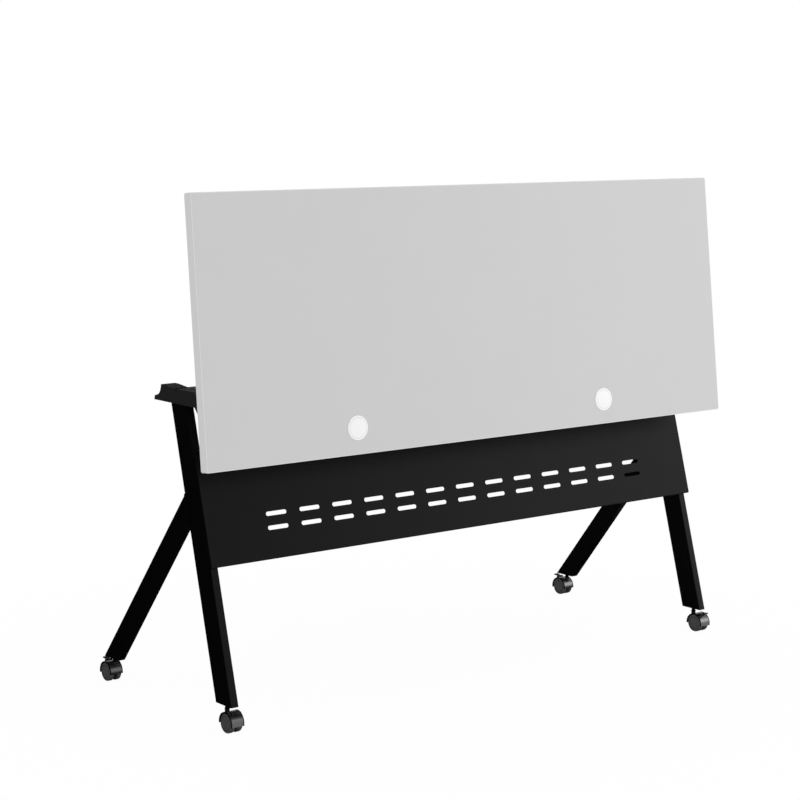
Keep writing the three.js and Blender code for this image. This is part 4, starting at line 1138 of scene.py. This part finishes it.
class TABLE_OT_latches(Operator):
    """Dresses the latch levers and builds their pins, springs and grip ribs"""
    bl_idname = "training_table.latches"
    bl_label = "Latches"

    def execute(self, context):
        hardware = settings().hardware
        for side, sign in SIDES.items():
            pin_node, spring_node, lever = (f"{side}_latch_{part}" for part in ("pin", "spring", "lever"))
            dress(lever, "latch_plastic", hardware.edge)
            low, high = corners(pin_node, TOP_PLACE)
            middle = (low + high) / 2
            place = TOP_PLACE @ Matrix.Translation((0, middle.y, middle.z))
            pin = latch_pin_shell(hardware, *corners(pin_node, place), sign)
            piece(f"{side}_latch_pin_turned", pin, "top", "zinc_steel", [pin_node], place)
            spring = spring_shell(hardware, *corners(spring_node, place), sign)
            piece(f"{side}_spring", spring, "top", "zinc_steel", [spring_node], place)
            low, high = corners(lever, place)
            ribs = ribs_shell(hardware, high.x - low.x)
            grip = place @ grip_place(hardware, (low.x + high.x) / 2)
            piece(f"{side}_grip_ribs", ribs, f"{side}_latch", "latch_plastic", place=grip)
        return {"FINISHED"}


# Casters

def hood_cuts(sizes, trail, centre, half_width, brake):
    """What is cut from the hood and its fittings: the bores and the brake's slot."""
    far = 2 * half_width
    inside = sizes.brake + sizes.brake_gap
    shank_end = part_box(f"{CASTERS[0]}_caster_stem")[0].z - sizes.stem_seat
    hinge = (0, *brake)
    return [rod(sizes.axle_bore, -far, far, (0, trail, centre)),
            rod(sizes.stem_bore, shank_end, far + sizes.boss_top, axis="z"),
            rod(sizes.brake_slot, -inside, inside, hinge),
            rod(sizes.trunnion + sizes.brake_gap, -far, far, hinge)]


def hood_mesh(sizes, trail, centre, radius, half_width, web, brake):
    """The hood: a rounded mudguard over both wheels, with the web between them."""
    turn = sizes.edge
    inner = radius - sizes.hood_wall
    root = sizes.lobe / 2
    section = [(half_width, inner), *arc(half_width - turn, radius - turn, turn, 0, 90, EDGE_STEPS),
               *arc(turn - half_width, radius - turn, turn, 90, 180, EDGE_STEPS), (-half_width, inner),
               (-web, inner), (-web, root), (web, root), (web, inner)]
    lobe = rod(sizes.lobe, -web, web, (0, trail, centre))
    return combined(hood_sweep(sizes, section, trail, centre), [lobe],
                    hood_cuts(sizes, trail, centre, half_width, brake))


def hood_sweep(sizes, section, trail, centre):
    """A section of (x, radius) points swept over the wheels, from the hood's start to its end."""
    shell = Shell()
    rings = []
    for step in range(HOOD_STEPS + 1):
        bearing = sizes.hood_from + (sizes.hood_to - sizes.hood_from) * step / HOOD_STEPS
        rings.append(shell.ring([(x, trail + r * math.cos(bearing), centre + r * math.sin(bearing))
                                 for x, r in section]))
    return shell.strip(rings).cap(rings[0]).cap(rings[-1])


def fittings_mesh(sizes, trail, centre, radius, half_width, web, brake):
    """The black fittings on the hood: the boss round the stem and two lugs for the brake."""
    turn, top = sizes.edge, sizes.boss_top
    inner = radius - sizes.hood_wall
    foot = centre + math.sqrt(radius ** 2 - trail ** 2) - sizes.hood_wall
    rim = arc(sizes.boss - turn, top - turn, turn, 0, 90, EDGE_STEPS)
    boss = turned([(0, foot), (sizes.boss, foot), *rim, (0, top)], steps=SMALL_ROUND_STEPS)
    inside = sizes.brake + sizes.brake_gap
    outside = inside + sizes.lug_thickness
    lugs = [rod(sizes.lug, *ends, (0, *brake)) for ends in ((inside, outside), (-outside, -inside))]
    wells = [rod(inner, *ends, (0, trail, centre), steps=ROUND_STEPS)
             for ends in ((web, half_width), (-half_width, -web))]
    return combined(boss, lugs, [*wells, *hood_cuts(sizes, trail, centre, half_width, brake)])


def painted_rim_shade_shell(sizes, trail, centre, radius, half_width, sign):
    """A black band that wraps one rim of the hood: painted shade for the dark rim and the gap beside the wheel."""
    rise = sizes.trim_rise
    inner, sunk = radius - sizes.hood_wall, radius - sizes.hood_wall / 2
    near, middle, far = half_width - sizes.trim, half_width - sizes.trim / 2, half_width + rise
    section = [(near, sunk), (near, radius + rise), (far, radius + rise),
               (far, inner), (middle, inner), (middle, sunk)]
    return hood_sweep(sizes, [(sign * x, r) for x, r in section], trail, centre)


def tread_shell(sizes, radius, inner, outer):
    """A wheel's tread about X, with a rounded shoulder at its outer edge."""
    turn, shoulder = sizes.edge, sizes.shoulder
    seat = sizes.disc - sizes.groove
    face = outer - sizes.groove / 2
    lip = sizes.disc + sizes.groove
    floor = outer - sizes.disc_sheet
    return turned([(seat, inner), *arc(radius - turn, inner + turn, turn, -90, 0, EDGE_STEPS),
                   *arc(radius - shoulder, face - shoulder, shoulder, 0, 90, CORNER_STEPS),
                   (lip, face), (lip, floor), (seat, floor), (seat, inner)], "x")


def disc_shell(sizes, inner, outer):
    """A wheel's centre about X, closed outside by a cover disc with a shallow dish."""
    turn = sizes.edge
    seat = sizes.disc - sizes.groove - sizes.brake_gap
    back = outer - sizes.disc_sheet
    low = outer - sizes.dish_depth
    rise = sizes.dish_depth / 2
    return turned([(0, back), (sizes.axle_bore, back), (sizes.axle_bore, inner), (seat, inner), (seat, back),
                   (sizes.disc, back), *arc(sizes.disc - turn, outer - turn, turn, 0, 90, EDGE_STEPS),
                   (sizes.dish + rise, outer), *dome(sizes.dish, low, rise), (0, low + rise)], "x")


def brake_mesh(sizes, high, brake):
    """A brake lever: its barrel and trunnions, and a pedal with ridges across it."""
    y, z = brake
    half, thick = sizes.brake, sizes.brake_sheet
    bend, bend_z = high.y - sizes.pedal_length, high.z - sizes.pedal_rise
    tip = arc(high.y - thick / 2, high.z - thick / 2, thick / 2, -90, 90, DOME_STEPS)
    rim = [(bend, bend_z - thick), *tip, (bend, bend_z)]
    root = z + sizes.brake_barrel
    arm = prism([(y, root - thick), *rim, (y, root)], -half, half)
    pedal = prism(rim, -sizes.pedal, sizes.pedal)
    barrel = rod(sizes.brake_barrel, -half, half, (0, y, z))
    reach = half + sizes.lug_thickness
    trunnion = rod(sizes.trunnion, -reach, reach, (0, y, z))
    across = sizes.pedal - sizes.edge
    ridges = []
    for step in range(sizes.pedal_ridges):
        back = (step + 1) / (sizes.pedal_ridges + 1)
        middle = (0, high.y - back * sizes.pedal_length, high.z - back * sizes.pedal_rise)
        ridges.append(rod(sizes.pedal_ridge, -across, across, middle, steps=RIDGE_STEPS))
    return combined(arm, [pedal, barrel, trunnion, *ridges])


def stem_shell(sizes, low, high):
    """A caster stem: its shank, its collar and its thread."""
    turn = sizes.edge
    seat = sizes.boss_top + sizes.stem_seat
    top = seat + sizes.collar_thickness
    profile = [(0, low.z), (sizes.shank, low.z), (sizes.shank, seat),
               *arc(sizes.collar - turn, seat + turn, turn, -90, 0, EDGE_STEPS),
               *arc(sizes.collar - turn, top - turn, turn, 0, 90, EDGE_STEPS)]
    depth = sizes.thread_pitch / 2
    turns = int((high.z - top) / sizes.thread_pitch)
    for step in range(turns):
        z = top + step * sizes.thread_pitch
        profile += [(sizes.thread - depth, z), (sizes.thread, z + depth)]
    return turned([*profile, (sizes.thread, high.z), (0, high.z)], steps=SMALL_ROUND_STEPS)


class TABLE_OT_casters(Operator):
    """Builds the four twin wheel casters"""
    bl_idname = "training_table.casters"
    bl_label = "Casters"

    def execute(self, context):
        sizes = settings().casters
        sample = CASTERS[0]
        place = caster_place(sample)
        wheel_low, wheel_high = corners(f"{sample}_wheel_b", place)
        inner, outer = wheel_low.x, wheel_high.x
        trail, centre = (wheel_low.y + wheel_high.y) / 2, (wheel_low.z + wheel_high.z) / 2
        radius = (wheel_high.z - wheel_low.z) / 2
        press = place.inverted() @ Vector(joint(f"{sample}_brake_press")["pos_m"])
        brake = (press.y, press.z)
        hood_high = corners(f"{sample}_caster_hood", place)[1]
        shape = (trail, centre, hood_high.y - trail, hood_high.x, inner - sizes.running_gap, brake)
        hood = hood_mesh(sizes, *shape)
        fittings = fittings_mesh(sizes, *shape)
        pedal = brake_mesh(sizes, corners(f"{sample}_brake_lever", place)[1], brake)
        tread = tread_shell(sizes, radius, inner, outer).baked()
        disc = disc_shell(sizes, inner, outer).baked()
        painted_rim_shades = {name: painted_rim_shade_shell(sizes, *shape[:4], sign).baked() for name, sign in SIDES.items()}
        stem = stem_shell(sizes, *corners(f"{sample}_caster_stem", place)).baked()
        hub = Matrix.Translation((0, trail, centre))
        about = Matrix.Rotation(math.pi, 4, "Z")
        wheels = {"near": ("wheel_a", about), "far": ("wheel_b", Matrix())}
        for label in CASTERS:
            place = caster_place(label)
            body = f"{label}_caster"
            lever = f"{label}_brake_lever"
            piece(f"{label}_hood", hood, body, "caster_plastic", [f"{body}_hood"], place, sizes.edge)
            piece(f"{label}_brake_pedal", pedal, f"{label}_brake", "latch_plastic", [lever], place,
                  sizes.edge / 2)
            for name, (part, turn) in wheels.items():
                wheel = f"{label}_{part}"
                piece(f"{label}_{name}_disc", disc, wheel, "wheel_plastic", [wheel], place @ hub @ turn)
                piece(f"{label}_{name}_tread", tread, wheel, "wheel_plastic", place=place @ hub @ turn)
            piece(f"{label}_fittings", fittings, body, "latch_plastic", place=place, edge=sizes.edge / 2)
            # Black bands along the hood's rims: painted shade for the rims and the gap beside each wheel.
            for name, trim in painted_rim_shades.items():
                piece(f"{label}_hood_{name}_trim", trim, body, "black_coat", place=place)
            piece(f"{label}_stem", stem, "frame", "black_coat", [f"{body}_stem"], place)
            dress(f"{body}_axle", "zinc_steel", sizes.edge)
        return {"FINISHED"}


# Stage

FLOOR_REACH = 30.0
FLOOR_TONE = (0.9, 0.9, 0.9, 1.0)
FLOOR_SHADOW = 0.06
SHADOW_SPREAD = 0.3
CARD_TONE = (0.01, 0.01, 0.01, 1.0)
CARD_LEFT, CARD_FRONT, CARD_BACK = -1.0, -3.5, 3.5
CARD_FOOT, CARD_TOP = 0.002, 2.5
CARD_FLOOR_RIGHT, CARD_FLOOR_FRONT = 1.1, -0.3
CARD_CEILING, CARD_CEILING_RIGHT, CARD_CEILING_FRONT = 1.75, 2.2, -2.2
WHITE = (1.0, 1.0, 1.0, 1.0)


def level_sheet(shell, x0, x1, y0, y1, z):
    """Adds a flat rectangle to a shell."""
    shell.cap(shell.level([(x0, y0), (x1, y0), (x1, y1), (x0, y1)], z))


def seen(tree):
    """One for rays that look at the background, directly or in a reflection."""
    kinds = ("Is Camera Ray", "Is Glossy Ray", "Is Transmission Ray")
    direct, gloss, through = (tree.node("ShaderNodeLightPath", output=kind) for kind in kinds)
    return direct + gloss + through


def card_surface(tree):
    """Dark felt."""
    return tree.node("ShaderNodeBsdfDiffuse", sockets={"Color": CARD_TONE})


def floor_surface(tree):
    """A white that keeps a faint shadow near the table."""
    plain = tree.node("ShaderNodeBsdfDiffuse", sockets={"Color": FLOOR_TONE})
    white = tree.node("ShaderNodeEmission", sockets={"Color": WHITE, "Strength": 1.0})
    where = tree.node("ShaderNodeTexCoord", output="Object")
    near = tree.node("ShaderNodeMapping", sockets={"Vector": where, "Scale": (SHADOW_SPREAD,) * 3})
    close = tree.node("ShaderNodeTexGradient", {"gradient_type": "QUADRATIC_SPHERE"}, {"Vector": near}, 1)
    faint = seen(tree) * (1 - FLOOR_SHADOW * close)
    return tree.node("ShaderNodeMixShader", sockets={0: faint, 1: plain, 2: white})


class TABLE_OT_stage(Operator):
    """Sets the camera, the lights, the floor and the background"""
    bl_idname = "training_table.stage"
    bl_label = "Stage"

    def execute(self, context):
        sizes = settings().stage
        scene = context.scene
        scene.view_settings.view_transform = "Standard"
        lens = bpy.data.cameras.new("camera")
        lens.lens, lens.shift_y = sizes.lens, sizes.shift
        camera = bpy.data.objects.new("camera", lens)
        camera.location = sizes.camera
        camera.rotation_euler = (math.pi / 2 - sizes.dip, 0, -sizes.heading)
        scene.collection.objects.link(camera)
        scene.camera = camera
        self.soft_box(scene, sizes)
        floor = Shell()
        level_sheet(floor, -FLOOR_REACH, FLOOR_REACH, -FLOOR_REACH, FLOOR_REACH, 0)
        self.prop(scene, "floor", floor, floor_surface)
        self.card(scene)
        self.sky(scene, sizes.sky)
        return {"FINISHED"}

    def soft_box(self, scene, sizes):
        """A square soft box aimed at the middle of the table."""
        light = bpy.data.lights.new("soft_box", "AREA")
        light.energy, light.size = sizes.key, sizes.key_size
        lamp = bpy.data.objects.new("soft_box", light)
        lamp.location = sizes.key_place
        aim = Vector(sizes.key_aim) - Vector(sizes.key_place)
        lamp.rotation_euler = aim.to_track_quat("-Z", "Y").to_euler()
        scene.collection.objects.link(lamp)

    def prop(self, scene, name, shell, surface):
        """Adds a piece of the stage, with the surface that a function makes in its node tree."""
        made = bpy.data.objects.new(name, shell.baked())
        scene.collection.objects.link(made)
        material = bpy.data.materials.new(f"{name}_surface")
        material.use_nodes = True
        nodes = material.node_tree
        nodes.links.new(surface(Tree(nodes)).socket, nodes.nodes["Material Output"].inputs["Surface"])
        made.data.materials.append(material)
        return made

    def card(self, scene):
        """A dark card at the left, over the floor and overhead, which only shows in reflections."""
        shell = Shell()
        shell.cap(shell.ring([(CARD_LEFT, CARD_FRONT, CARD_FOOT), (CARD_LEFT, CARD_BACK, CARD_FOOT),
                              (CARD_LEFT, CARD_BACK, CARD_TOP), (CARD_LEFT, CARD_FRONT, CARD_TOP)]))
        level_sheet(shell, CARD_LEFT, CARD_FLOOR_RIGHT, CARD_FLOOR_FRONT, CARD_BACK, CARD_FOOT)
        level_sheet(shell, CARD_LEFT, CARD_CEILING_RIGHT, CARD_CEILING_FRONT, CARD_BACK, CARD_CEILING)
        made = self.prop(scene, "flag", shell, card_surface)
        made.visible_camera = made.visible_diffuse = made.visible_shadow = False

    def sky(self, scene, strength):
        """A white background that lights the table at a plain level."""
        world = bpy.data.worlds.new("sky")
        world.use_nodes = True
        scene.world = world
        tree = Tree(world.node_tree)
        level = strength + (1 - strength) * seen(tree)
        backdrop = world.node_tree.nodes["Background"]
        backdrop.inputs["Color"].default_value = WHITE
        world.node_tree.links.new(level.socket, backdrop.inputs["Strength"])


class TABLE_PT_training_table(Panel):
    """Lists the table's operators and settings"""
    bl_label = "Training Table"
    bl_space_type = "VIEW_3D"
    bl_region_type = "UI"
    bl_category = "Training Table"

    def draw(self, context):
        for operator in OPERATORS:
            self.layout.operator(operator.bl_idname)
        for group in TableSettings.__annotations__:
            box = self.layout.box()
            box.label(text=group.capitalize())
            values = getattr(settings(), group)
            for name in type(values).__annotations__:
                box.prop(values, name)


GROUPS = (FinishSettings, WorktopSettings, LegSettings, PanelSettings, HardwareSettings, CasterSettings,
          StageSettings, TableSettings)
OPERATORS = (TABLE_OT_worktop, TABLE_OT_grommets, TABLE_OT_legs, TABLE_OT_heads, TABLE_OT_modesty_panel,
             TABLE_OT_brackets, TABLE_OT_latches, TABLE_OT_casters, TABLE_OT_stage)
CLASSES = (*GROUPS, *OPERATORS, TABLE_PT_training_table)


def register():
    """Adds the classes and the scene's settings."""
    for each in CLASSES:
        bpy.utils.register_class(each)
    bpy.types.Scene.training_table = PointerProperty(type=TableSettings)


def unregister():
    """Removes them again."""
    del bpy.types.Scene.training_table
    for each in reversed(CLASSES):
        bpy.utils.unregister_class(each)


def main():
    """Builds the table, piece by piece."""
    register()
    ops = bpy.ops.training_table
    for build in (ops.worktop, ops.grommets, ops.legs, ops.heads, ops.modesty_panel, ops.brackets,
                  ops.latches, ops.casters, ops.stage):
        build()


if __name__ == "__main__":
    main()
